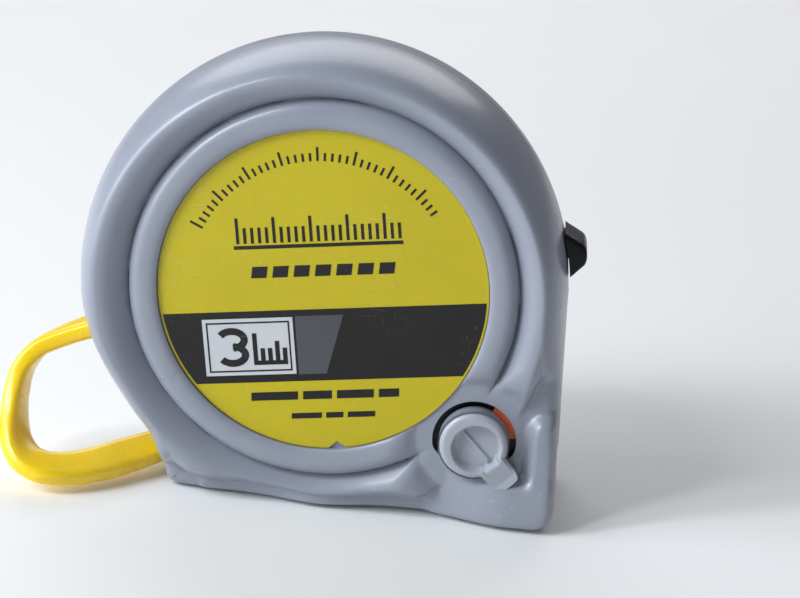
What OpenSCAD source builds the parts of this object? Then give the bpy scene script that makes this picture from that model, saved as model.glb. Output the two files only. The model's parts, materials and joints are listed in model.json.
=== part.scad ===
// Pocket tape measure: round two-shell case with a flat base, a spring reel, a sliding
// thumb lock on the edge, a turning brake knob on the front and a wrist strap.
// Origin: on the base plane, under the reel's axis. +X is the mouth side, -Y is the front.

/* [Case] */
// Radius of the round case
case_r = 34; // [33.5:0.1:34.5]
// Height of the reel's axis above the base
axis_z = 31; // [30.8:0.1:31.2]
// Half of the case's thickness at the rim bead
bead_y = 12.5; // [12.4:0.1:13]
// Half of the thickness of the flat block that carries the base
block_y = 9.6; // [9.4:0.1:9.9]
// Distance of the mouth face from the axis
mouth_x = 35; // [34.8:0.1:35.4]
// Distance of the left foot from the axis
foot_x = 20.5; // [19:0.1:21]

/* [Front face] */
// Radius of the label
label_r = 22.6; // [22:0.1:22.6]
// Thickness of the label
label_t = 0.3; // [0.2:0.05:0.4]
// Depth of the label's floor below the outside, measured from the parting plane
floor_y = 9.9; // [9.8:0.05:10]
// Depth of the flat pocket around the brake knob
pocket_y = 9.95; // [9.92:0.01:9.98]

/* [Tape] */
// Width of the blade
blade_w = 16; // [12:1:16]
// Thickness of the blade
blade_t = 0.25; // [0.2:0.05:0.25]
// Height that the blade's edges curl above its middle
blade_curl = 1.4; // [0.8:0.1:1.4]
// Outer radius of the wound tape
coil_r = 21.6; // [20:0.1:21.6]
// Outer radius of the reel's drum
drum_r = 17; // [16:0.1:17]

/* [Controls] */
// Radius of the brake knob
knob_r = 4.9; // [4.5:0.1:5]
// Travel of the thumb lock in degrees
lock_travel = 8; // [4:0.5:8]

/* [Wrist strap] */
// Width of the strap
strap_w = 5.6; // [5:0.1:5.6]
// Thickness of the strap
strap_t = 2.8; // [2.2:0.1:2.8]

/* [Hidden] */
$fn = 96;
eps = 0.01;

// Case walls and the room inside
wall = 2.1;
cavity_r = case_r - wall;
cavity_y = 8.4;
cavity_floor = 2;
bead_r = 29.5;
valley_r = 27.1;
valley_y = 10;
crest_y = 10.9;
lip_y = 10.45;
rim_power = 2.3;
recess_r = label_r + 0.15;
face_at = [0.6, 0.8];
face_shift = 1.2;
notch_a = -81;
notch_in = 0.6;
notch_r = 0.9;

// Base block, chin and the pocket around the knob
corner_r = 3;
foot_r = 1.6;
foot_z = 6.2;
foot_lean = 2.1;
shoulder = 0.15;
chin_x = 17.5;
chin_z = 7;
chin_y = 12;
pocket_r = 8.4;
pocket_x = 31.5;
pocket_z = 20;

// Fasteners: [x, z] of each case screw
screw_spots = [[14.5, 56.1], [-25.1, 45.5], [-4, 4.9], [28.5, 4]];
boss_r = 3.2;
screw_r = 1.2;
screw_head_r = 2.2;
screw_seat_y = 7.4;
screw_tip_y = 6;
screw_head_h = 1.5;
clip_head_h = 1.1;
cross_l = 2.8;
cross_w = 0.6;
cross_depth = 0.7;
clip_tip_y = 5.5;
clip_screw_z = 56;
clip_boss_r = 2.4;

// Reel
post_r = 3;
post_y = 9.3;
post_slit = 0.8;
running = 0.05;
drum_wall = 1.4;
drum_y = 8.1;
end_wall = 1;
spring_t = 0.25;
spring_y = 6.6;
spring_turns = 7;
spring_step = 15;
spring_in = post_r + 0.4;
spring_out = drum_r - drum_wall - spring_t;

// Blade and hook
blade_top = axis_z - coil_r - 0.05;
blade_low = blade_top - blade_t;
blade_tail = 0.5;
blade_flat = 9;
blade_end = mouth_x - 2;
hook_t = 1;
hook_x = mouth_x - 1.8;
hook_z0 = 1.2;
hook_z1 = 9.6;
hook_half = 7.9;
flange_x = 24.5;
flange_half = 7;
flange_t = 0.7;
hook_play = 1;
rivet_xs = [26.5, 30.5];
rivet_r = 0.75;
rivet_head_r = 1.45;

// Mouth: the way out of the blade and the recess of the hook
way_z0 = 6.9;
way_z1 = 12;
way_x = 20;
cheek_y = 8.6;
face_x = hook_x - 0.1;
guide_t = 0.7;
bumper_t = 1.7;
bumper_y = 6.8;
bumper_z = 6.4;
guide_x = [26, 31];

// Thumb lock, as angles about the reel's axis
lock_a0 = 6.7;
lock_a1 = 17.6;
lock_gap = 0.3;
lock_ridge = [[lock_a0, 0.2], [8, 0.8], [9.2, 1.8], [10, 2.2], [13.2, 2.45], [14.4, 2.2],
    [15.9, 1.2], [lock_a1, 0.2]];
button_y = 3.6;
arm_r0 = 29.9;
arm_r1 = 31.5;
arm_tip = -34.3;
arm_top = 26;
arm_split = -20;
arm_y = 3.5;
stem_a0 = 11;
stem_a1 = 16.5;
stem_y = 2;
slot_play = 0.5;
leaf_a = [-8, 20];
leaf_end = 2;
leaf_r = 28.9;
leaf_t = 0.3;
leaf_y = 2.5;

// Brake knob: centre [x, z] and the stack behind it
knob_at = [22.9, 12.4];
hole_r = 5.8;
knob_y0 = 9.2;
knob_y1 = 12.3;
dish_r = 3.25;
dish_depth = 0.7;
tab_dir = -45;
tab_len = 7;
tab_w = 3.9;
tab_gap = 0.15;
seat_r = 6.65;
sector_a = [6, 63];
shaft_r = 1.4;
cam_r = 2;
cam_lobe = 2.5;
cam_y = [0.6, 4.5];
cam_flange = 0.3;
flange_gap = 0.03;
washer_t = 0.45;
rib_w = 0.5;
rib_down = 0.1;
cam_room = 0.4;
plate_t = 0.5;
plate_z = 11.05;

// Strap anchors: [x, z] of each pin
pin_spots = [[-26.6, 22], [-16.5, 4.7]];
pin_r = 1.1;
pin_y = 9;
barrel_r = 2.1;

// Belt clip: [y, z] points along its middle
clip_w = 13;
clip_t = 0.8;
clip_path = [[11.45, 58.2], [11.45, 50.5], [14.2, 46], [14.2, 24], [12.7, 20], [13.9, 16.5]];

// Strap: middle line and twist in degrees from level, set by hand
strap_path = [[-26.6, 0, 22], [-29.6, 0, 21.3], [-33, 0, 20.1], [-36.9, -0.4, 18.4],
    [-40, -1.2, 16.6], [-41.9, -2.6, 14], [-42.4, -4.6, 10.9], [-42, -7.2, 7.9],
    [-40.9, -10, 5.6], [-38.9, -12.2, 4], [-36, -12.8, 3.2], [-32.6, -11.4, 2.9],
    [-29, -8.6, 3], [-25.8, -5.2, 3.2], [-22.4, -1.9, 3.6], [-19.4, -0.3, 4.1],
    [-16.5, 0, 4.7]];
strap_twist = [0, 0, 0, 4, 8, 8, 6, 6, 8, 12, 14, 18, 22, 24, 16, 6, 0];
strap_parts = 3;

// Strap slots: x from and to, z from and to, half width
strap_slots = [[-case_r - 1, -26, 17.8, 24, 3.5], [-25, -15, 0.9, 7.4, 4.6]];

// ---------- functions ----------
function arc(c, r, a0, a1, n) = [for (i = [0 : n]) let (a = a0 + (a1 - a0) * i / n)
    [c[0] + r * cos(a), c[1] + r * sin(a)]];
function polar(a, r) = [r * cos(a), r * sin(a)];
function mix(a, b, t) = a + (b - a) * t;
function ease(t) = (1 - cos(180 * t)) / 2;
function unit(v) = v / norm(v);

// Outline of a strip of thickness t along a path
function strip_normal(p, i) = let (a = p[max(i - 1, 0)], b = p[min(i + 1, len(p) - 1)],
    d = unit(b - a)) [-d[1], d[0]];
function strip_side(p, s) = [for (i = [0 : len(p) - 1]) p[i] + strip_normal(p, i) * s];
function strip(p, t) = concat(strip_side(p, t / 2),
    [for (i = [len(p) - 1 : -1 : 0]) strip_side(p, -t / 2)[i]]);

// Smooth curve through points: the Catmull-Rom rule, k steps for each span
function spline_at(p, i, t) = let (n = len(p) - 1, a = p[max(i - 1, 0)], b = p[i],
    c = p[i + 1], d = p[min(i + 2, n)])
    (2 * b + (c - a) * t + (2 * a - 5 * b + 4 * c - d) * t * t
    + (3 * b - a - 3 * c + d) * t * t * t) / 2;
function spline(p, k) = concat([for (i = [0 : len(p) - 2], j = [0 : k - 1])
    spline_at(p, i, j / k)], [p[len(p) - 1]]);

// Height of the blade's middle surface above its lowest line
function curl(x, y) = blade_curl * pow(min(x / blade_flat, 1), 2.2) * pow(2 * y / blade_w, 2);

// ---------- shared shapes ----------
// Turns a shape drawn in x and z, growing to the front, into place
module upright() { rotate([90, 0, 0]) children(); }
module on_axis() { translate([0, 0, axis_z]) upright() children(); }
module on_face() { translate([face_at[0], 0, axis_z + face_at[1]]) upright() children(); }
module on_knob() { translate([knob_at[0], 0, knob_at[1]]) upright() children(); }
module slab(y0, y1) { translate([0, -y0, 0]) upright() linear_extrude(y1 - y0) children(); }
module block(x, y, z) { translate([x[0], y[0], z[0]]) cube([x[1] - x[0], y[1] - y[0], z[1] - z[0]]); }
module ring_part(a0, a1, r0, r1, y0, y1) {
    on_axis() rotate([0, 0, a0]) rotate_extrude(angle = a1 - a0)
        translate([r0, y0]) square([r1 - r0, y1 - y0]);
}

// ---------- case ----------
function rim_points() = [for (i = [0 : 12]) let (a = i * 7.5)
    [bead_r + (case_r - bead_r) * pow(cos(a), 2 / rim_power),
     bead_y * pow(sin(a), 2 / rim_power)]];
function face_points() = concat(
    [for (i = [1 : 6]) [mix(bead_r, valley_r, i / 6), mix(bead_y, valley_y, ease(i / 6))]],
    [for (i = [1 : 6]) [mix(valley_r, recess_r + 2, i / 6), mix(valley_y, crest_y, ease(i / 6))]],
    [[recess_r + 1, mix(crest_y, lip_y, 0.4)], [recess_r - face_shift, lip_y], [0, lip_y]]);

module round_body() {
    difference() {
        on_axis() rotate_extrude() polygon(concat([[0, 0]], rim_points(), face_points()));
        on_face() translate([0, 0, floor_y]) cylinder(r = recess_r, h = bead_y);
    }
}

module base_outline() {
    polygon(concat(
        arc([-foot_x + foot_r, foot_r], foot_r, 180, 270, 6),
        arc([mouth_x - corner_r, corner_r], corner_r, -90, 0, 8),
        [[mouth_x, chin_z], [case_r + shoulder, axis_z], [case_r - 1, axis_z + 1.5], [0, axis_z],
         [-foot_x - foot_lean, foot_z]]));
}

module chin_outline() {
    polygon(concat(
        [[chin_x, 0]],
        arc([mouth_x - corner_r, corner_r], corner_r, -90, 0, 8),
        [[mouth_x, chin_z]],
        arc([chin_x + corner_r, chin_z - corner_r], corner_r, 90, 180, 6)));
}

module case_blank() {
    round_body();
    slab(0, block_y) base_outline();
    slab(0, chin_y) chin_outline();
}

// Room inside one half, less the bosses of the screws
module half_cavity() {
    difference() {
        intersection() {
            on_axis() translate([0, 0, -eps]) cylinder(r = cavity_r, h = cavity_y + eps);
            block([-case_r, case_r], [-cavity_y, eps], [cavity_floor, 2 * case_r]);
        }
        for (s = screw_spots) translate([s[0], 0, s[1]]) upright() cylinder(r = boss_r, h = cavity_y);
    }
}

// The blade's way out, the hook's recess and the bumper's pocket
module mouth_cut() {
    block([way_x, face_x + eps], [-cavity_y, eps], [way_z0, way_z1]);
    block([face_x, mouth_x + 1], [-cheek_y, eps], [-1, way_z1]);
    block([face_x - bumper_t, face_x + eps], [-bumper_y, eps], [hook_z0, bumper_z]);
}

module strap_cut() {
    for (s = strap_slots) block([s[0], s[1]], [-s[4], eps], [s[2], s[3]]);
}

module lock_cut() {
    ring_part(stem_a0 - lock_travel - slot_play, stem_a1 + slot_play, cavity_r - 1,
        case_r + 1, -eps, stem_y + 0.2);
}

module half_shell() {
    difference() {
        case_blank();
        half_cavity();
        mouth_cut();
        strap_cut();
        lock_cut();
        block([-case_r - 5, case_r + 5], [-bead_y - 1, 1], [-case_r, 0]);
        on_axis() cylinder(r = post_r, h = post_y);
        for (p = pin_spots) translate([p[0], 0, p[1]]) upright() cylinder(r = pin_r, h = pin_y);
    }
}

module knob_pocket_cut() {
    slab(pocket_y, bead_y + 1) {
        translate(knob_at) circle(r = pocket_r);
        translate([knob_at[0], chin_z]) square([pocket_x - knob_at[0], pocket_z - chin_z]);
    }
    on_knob() translate([0, 0, knob_y0 - eps]) cylinder(r = hole_r, h = 2);
    on_knob() translate([0, 0, cavity_y - eps]) cylinder(r = seat_r, h = knob_y0 - cavity_y);
    on_knob() cylinder(r = cam_lobe + cam_room, h = cavity_y);
}

module front_shell() {
    color([0.57, 0.60, 0.68]) {
        difference() {
            half_shell();
            knob_pocket_cut();
            for (s = screw_spots) translate([s[0], eps, s[1]]) upright()
                cylinder(r = screw_r - 0.1, h = screw_tip_y + 0.5);
        }
        on_face() rotate([0, 0, notch_a]) translate([label_r - notch_in, 0, floor_y - eps])
            cylinder(r = notch_r / 2, h = label_t);
    }
}

module back_shell() {
    color([0.57, 0.60, 0.68]) mirror([0, 1, 0]) difference() {
        union() {
            half_shell();
            translate([0, 0, clip_screw_z]) upright() translate([0, 0, clip_tip_y - 1])
                cylinder(r = clip_boss_r, h = cavity_y - clip_tip_y + 1.1);
        }
        for (s = screw_spots) translate([s[0], 0, s[1]]) upright() {
            translate([0, 0, -eps]) cylinder(r = screw_r + 0.1, h = bead_y);
            translate([0, 0, screw_seat_y]) cylinder(r = screw_head_r + 0.2, h = bead_y);
        }
        translate([0, 0, clip_screw_z]) upright() translate([0, 0, clip_tip_y - 0.5])
            cylinder(r = screw_r - 0.1, h = bead_y);
    }
}

module label_disc() {
    on_face() translate([0, 0, floor_y]) difference() {
        cylinder(r = label_r, h = label_t);
        rotate([0, 0, notch_a]) translate([label_r - notch_in, 0, -eps]) cylinder(r = notch_r, h = 1);
    }
}
module front_label() { color([0.78, 0.72, 0.08]) label_disc(); }
module back_label() { color([0.78, 0.72, 0.08]) mirror([0, 1, 0]) label_disc(); }

// Cross-shaped recess, cut down from height h
module cross_recess(h) {
    for (a = [0, 90]) rotate([0, 0, a]) translate([-cross_l / 2, -cross_w / 2, h - cross_depth])
        cube([cross_l, cross_w, 1]);
}

module case_screws() {
    color("silver") for (s = screw_spots) translate([s[0], 0, s[1]]) rotate([-90, 0, 0]) difference() {
        union() {
            translate([0, 0, -screw_tip_y]) cylinder(r = screw_r, h = screw_tip_y + screw_seat_y);
            translate([0, 0, screw_seat_y]) cylinder(r = screw_head_r, h = screw_head_h);
        }
        cross_recess(screw_seat_y + screw_head_h);
    }
}

module spool_post() {
    color("gray") on_axis() difference() {
        translate([0, 0, -post_y]) cylinder(r = post_r, h = 2 * post_y);
        translate([-post_slit / 2, 0, -spring_y]) cube([post_slit, post_r + 1, 2 * spring_y]);
    }
}

module strap_pins() {
    color("silver") for (p = pin_spots) translate([p[0], pin_y, p[1]]) upright()
        cylinder(r = pin_r, h = 2 * pin_y);
}

// ---------- strap ----------
// Four corners of the strap's section at ring i of the smooth path
function strap_ring(p, tw, i) = let (
    d = unit(p[min(i + 1, len(p) - 1)] - p[max(i - 1, 0)]),
    up0 = unit(cross(d, [0, 1, 0])), side0 = unit(cross(up0, d)),
    side = side0 * cos(tw[i]) + up0 * sin(tw[i]), up = up0 * cos(tw[i]) - side0 * sin(tw[i]))
    [for (k = [[-1, -1], [1, -1], [1, 1], [-1, 1]])
        p[i] + side * (k[0] * strap_w / 2) + up * (k[1] * strap_t / 2)];

module wrist_strap() {
    path = spline(strap_path, strap_parts);
    twist = spline(strap_twist, strap_parts);
    n = len(path);
    color([0.96, 0.84, 0.08]) {
        polyhedron(
            points = [for (i = [0 : n - 1]) each strap_ring(path, twist, i)],
            faces = concat([[0, 1, 2], [0, 2, 3]],
                [for (i = [0 : n - 2], j = [0 : 3]) let (k = (j + 1) % 4, a = 4 * i)
                    each [[a + k, a + j, a + 4 + j], [a + k, a + 4 + j, a + 4 + k]]],
                [[4 * n - 2, 4 * n - 3, 4 * n - 4], [4 * n - 1, 4 * n - 2, 4 * n - 4]]));
        for (p = pin_spots) translate([p[0], strap_w / 2, p[1]]) upright()
            cylinder(r = barrel_r, h = strap_w);
    }
}

// ---------- mouth ----------
module mouth_guide() {
    color([0.1, 0.1, 0.1]) block(guide_x, [-cavity_y, cavity_y], [way_z0, way_z0 + guide_t]);
}

module hook_bumper() {
    color([0.12, 0.12, 0.12]) block([face_x - bumper_t, face_x], [-bumper_y, bumper_y],
        [hook_z0, bumper_z]);
}

// ---------- belt clip ----------
module belt_clip() {
    color("silver") difference() {
        translate([-clip_w / 2, 0, 0]) rotate([90, 0, 90]) linear_extrude(clip_w)
            polygon(strip(clip_path, clip_t));
        translate([0, bead_y + 1, clip_screw_z]) upright() cylinder(r = screw_r + 0.1, h = 4);
    }
}

module clip_screw() {
    head_y = clip_path[0][0] + clip_t / 2;
    color("silver") translate([0, head_y, clip_screw_z]) rotate([-90, 0, 0]) difference() {
        union() {
            cylinder(r = screw_head_r, h = clip_head_h);
            translate([0, 0, clip_tip_y - head_y]) cylinder(r = screw_r, h = head_y - clip_tip_y + eps);
        }
        cross_recess(clip_head_h);
    }
}

// ---------- reel ----------
module reel() {
    color([0.9, 0.9, 0.88]) on_axis() rotate_extrude() polygon([
        [post_r + running, -drum_y], [drum_r, -drum_y], [drum_r, drum_y],
        [drum_r - drum_wall, drum_y], [drum_r - drum_wall, end_wall - drum_y],
        [post_r + running, end_wall - drum_y]]);
}

module reel_cover() {
    color([0.85, 0.85, 0.83]) on_axis() translate([0, 0, drum_y - end_wall]) difference() {
        cylinder(r = drum_r - drum_wall, h = end_wall);
        translate([0, 0, -eps]) cylinder(r = post_r + running, h = end_wall + 1);
    }
}

function spiral(off) = [for (a = [0 : spring_step : 360 * spring_turns])
    polar(a, mix(spring_in, spring_out, a / (360 * spring_turns)) + off)];

module return_spring() {
    outer = spiral(spring_t);
    color([0.45, 0.47, 0.5]) on_axis() translate([0, 0, -spring_y]) linear_extrude(2 * spring_y)
        polygon(concat(spiral(0), [for (i = [len(outer) - 1 : -1 : 0]) outer[i]]));
}

module tape_coil() {
    color([0.85, 0.72, 0.1]) on_axis() translate([0, 0, -blade_w / 2]) difference() {
        cylinder(r = coil_r, h = blade_w);
        translate([0, 0, -eps]) cylinder(r = drum_r, h = blade_w + 1);
    }
}

// ---------- blade ----------
blade_xs = [blade_tail, 3, 5, 7, blade_flat, blade_end];
blade_ys = [for (i = [-6 : 6]) i * blade_w / 12];

module tape_blade() {
    m = len(blade_ys);
    q = 2 * m;
    color([0.92, 0.8, 0.12]) polyhedron(
        points = [for (x = blade_xs) each concat(
            [for (y = blade_ys) [x, y, blade_low + curl(x, y)]],
            [for (i = [m - 1 : -1 : 0]) [x, blade_ys[i], blade_top + curl(x, blade_ys[i])]])],
        faces = concat(
            [for (i = [0 : m - 2]) each [[i, i + 1, q - 1 - i], [i + 1, q - 2 - i, q - 1 - i]]],
            [for (s = [0 : len(blade_xs) - 2], j = [0 : q - 1]) let (k = (j + 1) % q, a = s * q)
                each [[a + k, a + j, a + q + j], [a + k, a + q + j, a + q + k]]],
            [for (i = [0 : m - 2]) let (a = (len(blade_xs) - 1) * q)
                each [[a + q - 1 - i, a + i + 1, a + i], [a + q - 1 - i, a + q - 2 - i, a + i + 1]]]));
}

module hook_rivets() {
    under = blade_low - flange_t - 0.05;
    color("silver") for (x = rivet_xs) translate([x, 0, under - 0.5]) {
        cylinder(r = rivet_head_r, h = 0.5);
        cylinder(r = rivet_r, h = blade_top - under + 0.9);
        translate([0, 0, blade_top - under + 0.5]) cylinder(r = rivet_head_r, h = 0.4);
    }
}

module end_hook() {
    top = [for (i = [-7 : 7]) let (y = i * flange_half / 7) [y, blade_low - 0.03 + curl(blade_flat, y)]];
    low = [for (i = [14 : -1 : 0]) top[i] - [0, flange_t]];
    color("silver") {
        difference() {
            translate([flange_x, 0, 0]) rotate([90, 0, 90]) linear_extrude(hook_x - flange_x + eps)
                polygon(concat(top, low));
            for (x = rivet_xs) {
                translate([x - hook_play, 0, 5]) cylinder(r = rivet_r + 0.1, h = 6);
                translate([x, 0, 5]) cylinder(r = rivet_r + 0.1, h = 6);
                block([x - hook_play, x], [-rivet_r - 0.1, rivet_r + 0.1], [5, 11]);
            }
        }
        block([hook_x, hook_x + hook_t], [-hook_half, hook_half], [hook_z0, hook_z1]);
    }
}

// ---------- thumb lock ----------
module lock_button() {
    inner = case_r + lock_gap;
    color([0.05, 0.05, 0.06]) {
        on_axis() translate([0, 0, -button_y]) linear_extrude(2 * button_y) polygon(concat(
            [for (p = lock_ridge) polar(p[0], inner + p[1])], arc([0, 0], inner, lock_a1, lock_a0, 6)));
        ring_part(stem_a0, stem_a1, arm_r1, inner + lock_gap, -stem_y, stem_y);
    }
}

module lock_arm() {
    color([0.15, 0.15, 0.16]) {
        difference() {
            ring_part(arm_tip, arm_top, arm_r0, arm_r1, -arm_y, arm_y);
            ring_part(arm_tip - 1, arm_split, arm_r0 - 1, arm_r1 + 1, -0.3, arm_y + 1);
        }
    }
}

module lock_spring() {
    color("silver") {
        ring_part(leaf_a[0], leaf_a[1], leaf_r, leaf_r + leaf_t, -leaf_y, leaf_y);
        for (a = [leaf_a[0], leaf_a[1] - leaf_end])
            ring_part(a, a + leaf_end, leaf_r + leaf_t - 0.1, arm_r0, -leaf_y, leaf_y);
    }
}

// ---------- brake ----------
module brake_knob() {
    color([0.66, 0.69, 0.75]) on_knob() {
        difference() {
            translate([0, 0, knob_y0]) cylinder(r = knob_r, h = knob_y1 - knob_y0);
            translate([0, 0, knob_y1 - dish_depth]) cylinder(r = dish_r, h = 2);
        }
        intersection() {
            translate([0, 0, knob_y0]) cylinder(r = dish_r + 0.2, h = knob_y1 - knob_y0 - rib_down);
            rotate([0, 0, tab_dir]) translate([-dish_r, -rib_w / 2, knob_y0])
                cube([2 * dish_r, rib_w, knob_y1 - knob_y0]);
        }
        intersection() {
            rotate([0, 0, tab_dir]) translate([dish_r, -tab_w / 2, pocket_y + tab_gap])
                cube([tab_len, tab_w, knob_y1 - pocket_y - tab_gap]);
            translate([0, 0, pocket_y]) cylinder(r = tab_len, h = knob_y1 - pocket_y);
        }
    }
}

module brake_cam() {
    color([0.8, 0.33, 0.13]) on_knob() {
        rotate([0, 0, sector_a[0]]) rotate_extrude(angle = sector_a[1] - sector_a[0])
            translate([0, knob_y0 - flange_gap - cam_flange]) square([seat_r - running, cam_flange]);
        translate([0, 0, cam_y[0]]) cylinder(r = shaft_r, h = knob_y0 - cam_y[0]);
        translate([0, 0, knob_y0 - flange_gap - cam_flange]) cylinder(r = 3, h = cam_flange);
        translate([0, cam_lobe - cam_r, cam_y[0]]) cylinder(r = cam_r, h = cam_y[1] - cam_y[0]);
    }
}

module brake_plate() {
    color("silver") intersection() {
        on_knob() difference() {
            translate([0, 0, cavity_y - plate_t]) cylinder(r = seat_r, h = plate_t);
            translate([0, 0, cavity_y - 1]) cylinder(r = shaft_r + running, h = 2);
            translate([-seat_r - 1, -seat_r - 1, cavity_y - 1])
                cube([2 * seat_r + 2, seat_r + 1 + plate_z - knob_at[1], 2]);
        }
        on_axis() cylinder(r = cavity_r - 2 * running, h = cavity_y);
    }
}

module brake_washer() {
    color([0.06, 0.06, 0.06]) on_knob() difference() {
        translate([0, 0, cavity_y]) cylinder(r = seat_r - running, h = washer_t);
        translate([0, 0, cavity_y - 1]) cylinder(r = shaft_r + running, h = 2);
    }
}

front_shell();
back_shell();
front_label();
back_label();
case_screws();
spool_post();
strap_pins();
wrist_strap();
mouth_guide();
hook_bumper();
brake_plate();
brake_washer();
belt_clip();
clip_screw();
reel();
reel_cover();
return_spring();
tape_coil();
tape_blade();
hook_rivets();
end_hook();
lock_button();
lock_arm();
lock_spring();
brake_knob();
brake_cam();
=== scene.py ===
"""Looks of a pocket tape measure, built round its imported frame.

Each sub-assembly is a class with its sizes as fields. Everything is in metres, in the
frame's own axes: +X towards the mouth, -Y towards the labelled front, +Z up.
"""

import json
import logging
import math
from dataclasses import dataclass, field
from enum import Enum
from typing import Sequence, Union

import bmesh
import bpy
import numpy as np
from mathutils import Matrix, Vector


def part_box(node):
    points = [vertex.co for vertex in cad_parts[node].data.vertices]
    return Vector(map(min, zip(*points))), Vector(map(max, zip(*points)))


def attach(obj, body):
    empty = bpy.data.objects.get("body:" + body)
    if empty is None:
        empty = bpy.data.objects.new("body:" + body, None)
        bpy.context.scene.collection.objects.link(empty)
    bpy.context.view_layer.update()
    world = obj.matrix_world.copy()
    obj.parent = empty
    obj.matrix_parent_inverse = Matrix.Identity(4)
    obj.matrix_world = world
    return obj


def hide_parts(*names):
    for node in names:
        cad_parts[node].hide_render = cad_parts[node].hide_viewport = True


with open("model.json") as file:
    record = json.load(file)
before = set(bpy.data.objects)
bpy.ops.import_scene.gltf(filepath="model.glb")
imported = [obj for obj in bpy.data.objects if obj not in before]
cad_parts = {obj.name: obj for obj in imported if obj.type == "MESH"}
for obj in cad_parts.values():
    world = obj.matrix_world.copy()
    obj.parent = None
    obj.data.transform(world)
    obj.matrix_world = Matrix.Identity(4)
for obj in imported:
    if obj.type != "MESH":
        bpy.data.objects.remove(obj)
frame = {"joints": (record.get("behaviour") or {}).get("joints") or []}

LOG = logging.getLogger("tape_measure")
MM = 0.001
WELD_GAP = 0.002 * MM
BEVEL_ANGLE = 32.0
PRINT_SINK = 0.05 * MM
Colour = tuple[float, float, float]
Number = Union[float, np.ndarray]
Socket = bpy.types.NodeSocket
Value = Union[float, Colour, Socket]


class Side(Enum):
    """Which half of the case a piece belongs to; the value is the sign of its Y."""

    FRONT = -1.0
    BACK = 1.0


class Body(Enum):
    """The moving bodies that pieces ride on."""

    CASE = "case"
    BLADE = "blade"
    HOOK = "hook"
    LOCK = "thumb_lock"
    BRAKE = "brake"


class Slot(Enum):
    """The record's material slots."""

    CASE = "case_plastic"
    LABEL = "label_film"
    VINYL = "strap_vinyl"
    KNOB = "knob_plastic"
    BLACK = "black_plastic"
    STEEL = "steel"
    BRIGHT = "bright_steel"


class Look(Enum):
    """The finishes of the object, one for each kind of material and colour."""

    CASE = "blue_grey_gloss"
    KNOB = "pale_grey_gloss"
    ORANGE = "orange_gloss"
    BLACK = "black_gloss"
    RUBBER = "soft_black"
    NATURAL = "natural_white"
    VINYL = "yellow_vinyl"
    STEEL = "zinc_steel"
    BRIGHT = "nickel_steel"
    SPRING = "blued_steel"
    COIL = "wound_tape"
    LABEL = "yellow_film"
    INK = "black_ink"
    WHITE_INK = "white_ink"
    GREY_INK = "grey_ink"
    RULED = "ruled_tape"


class Plane(Enum):
    """The plane that the side profile of a bent strip lies in."""

    XZ = "along the blade"
    YZ = "across the case"


# ---------------------------------------------------------------- numbers and curves


def ease(t: Number) -> Number:
    """Return the smooth step of t, held to the range 0 to 1."""
    t = np.clip(t, 0.0, 1.0)
    return t * t * (3.0 - 2.0 * t)


def mix(a: Number, b: Number, t: Number) -> Number:
    """Return the value t of the way from a to b."""
    return a + (b - a) * t


def smooth_max(a: np.ndarray, b: np.ndarray, width: float) -> np.ndarray:
    """Return the larger of two heights, rounded where they cross.

    Args:
        a: First height field.
        b: Second height field.
        width: Height difference over which the two blend.

    Returns:
        The blended height field.
    """
    near = np.clip(0.5 + 0.5 * (a - b) / width, 0.0, 1.0)
    return mix(b, a, near) + width * near * (1.0 - near)


def arc(centre: Sequence[float], radius: float, start: float, end: float, steps: int) -> np.ndarray:
    """Return points along an arc.

    Args:
        centre: Centre of the arc, in the plane.
        radius: Radius of the arc.
        start: First angle in degrees.
        end: Last angle in degrees.
        steps: Number of spans.

    Returns:
        An array of steps + 1 points.
    """
    return polar(centre, radius, np.linspace(start, end, steps + 1))


def polar(centre: Sequence[float], radius: Number, turn: np.ndarray) -> np.ndarray:
    """Return points at radii and angles in degrees about a centre."""
    turn = np.radians(turn)
    return np.stack([centre[0] + radius * np.cos(turn), centre[1] + radius * np.sin(turn)], 1)


def resample(points: np.ndarray, count: int) -> np.ndarray:
    """Space points evenly along a polyline.

    Args:
        points: The polyline's corners, one row each.
        count: How many points come back.

    Returns:
        The evenly spaced points, from the first corner to the last.
    """
    loop = np.vstack([points, points[:1]])
    length = np.concatenate([[0.0], np.cumsum(np.linalg.norm(np.diff(loop, axis=0), axis=1))])
    at = np.linspace(0.0, length[-1], count, endpoint=False)
    return np.stack([np.interp(at, length, loop[:, k]) for k in range(points.shape[1])], 1)


def soften(values: np.ndarray, passes: int) -> np.ndarray:
    """Return a closed run of values after a number of passes of a small average.

    Args:
        values: The run of values, one row each.
        passes: How many times the run is averaged.

    Returns:
        The smoothed run, of the same length.
    """
    for _ in range(passes):
        values = 0.5 * values + 0.25 * (np.roll(values, 1, 0) + np.roll(values, -1, 0))
    return values


def spline(points: Sequence[Sequence[float]], steps: int) -> np.ndarray:
    """Return a Catmull-Rom curve through the points.

    Args:
        points: The points, each with any number of coordinates.
        steps: Number of pieces for each span.

    Returns:
        The points along the curve.
    """
    p = np.array(points, float)
    if p.ndim == 1:
        p = p[:, None]
    out = []
    for i in range(len(p) - 1):
        a, b, c, d = p[max(i - 1, 0)], p[i], p[i + 1], p[min(i + 2, len(p) - 1)]
        for t in np.arange(steps) / steps:
            out.append((2 * b + (c - a) * t + (2 * a - 5 * b + 4 * c - d) * t * t
                        + (3 * b - a - 3 * c + d) * t ** 3) / 2)
    out.append(p[-1])
    return np.array(out)


# ---------------------------------------------------------------- meshes


def ring_faces(rows: int, cols: int) -> list[tuple[int, ...]]:
    """Return the quads between closed rings of cols points, stacked in rows."""
    return [(i * cols + j, i * cols + (j + 1) % cols, (i + 1) * cols + (j + 1) % cols,
             (i + 1) * cols + j) for i in range(rows - 1) for j in range(cols)]


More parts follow.
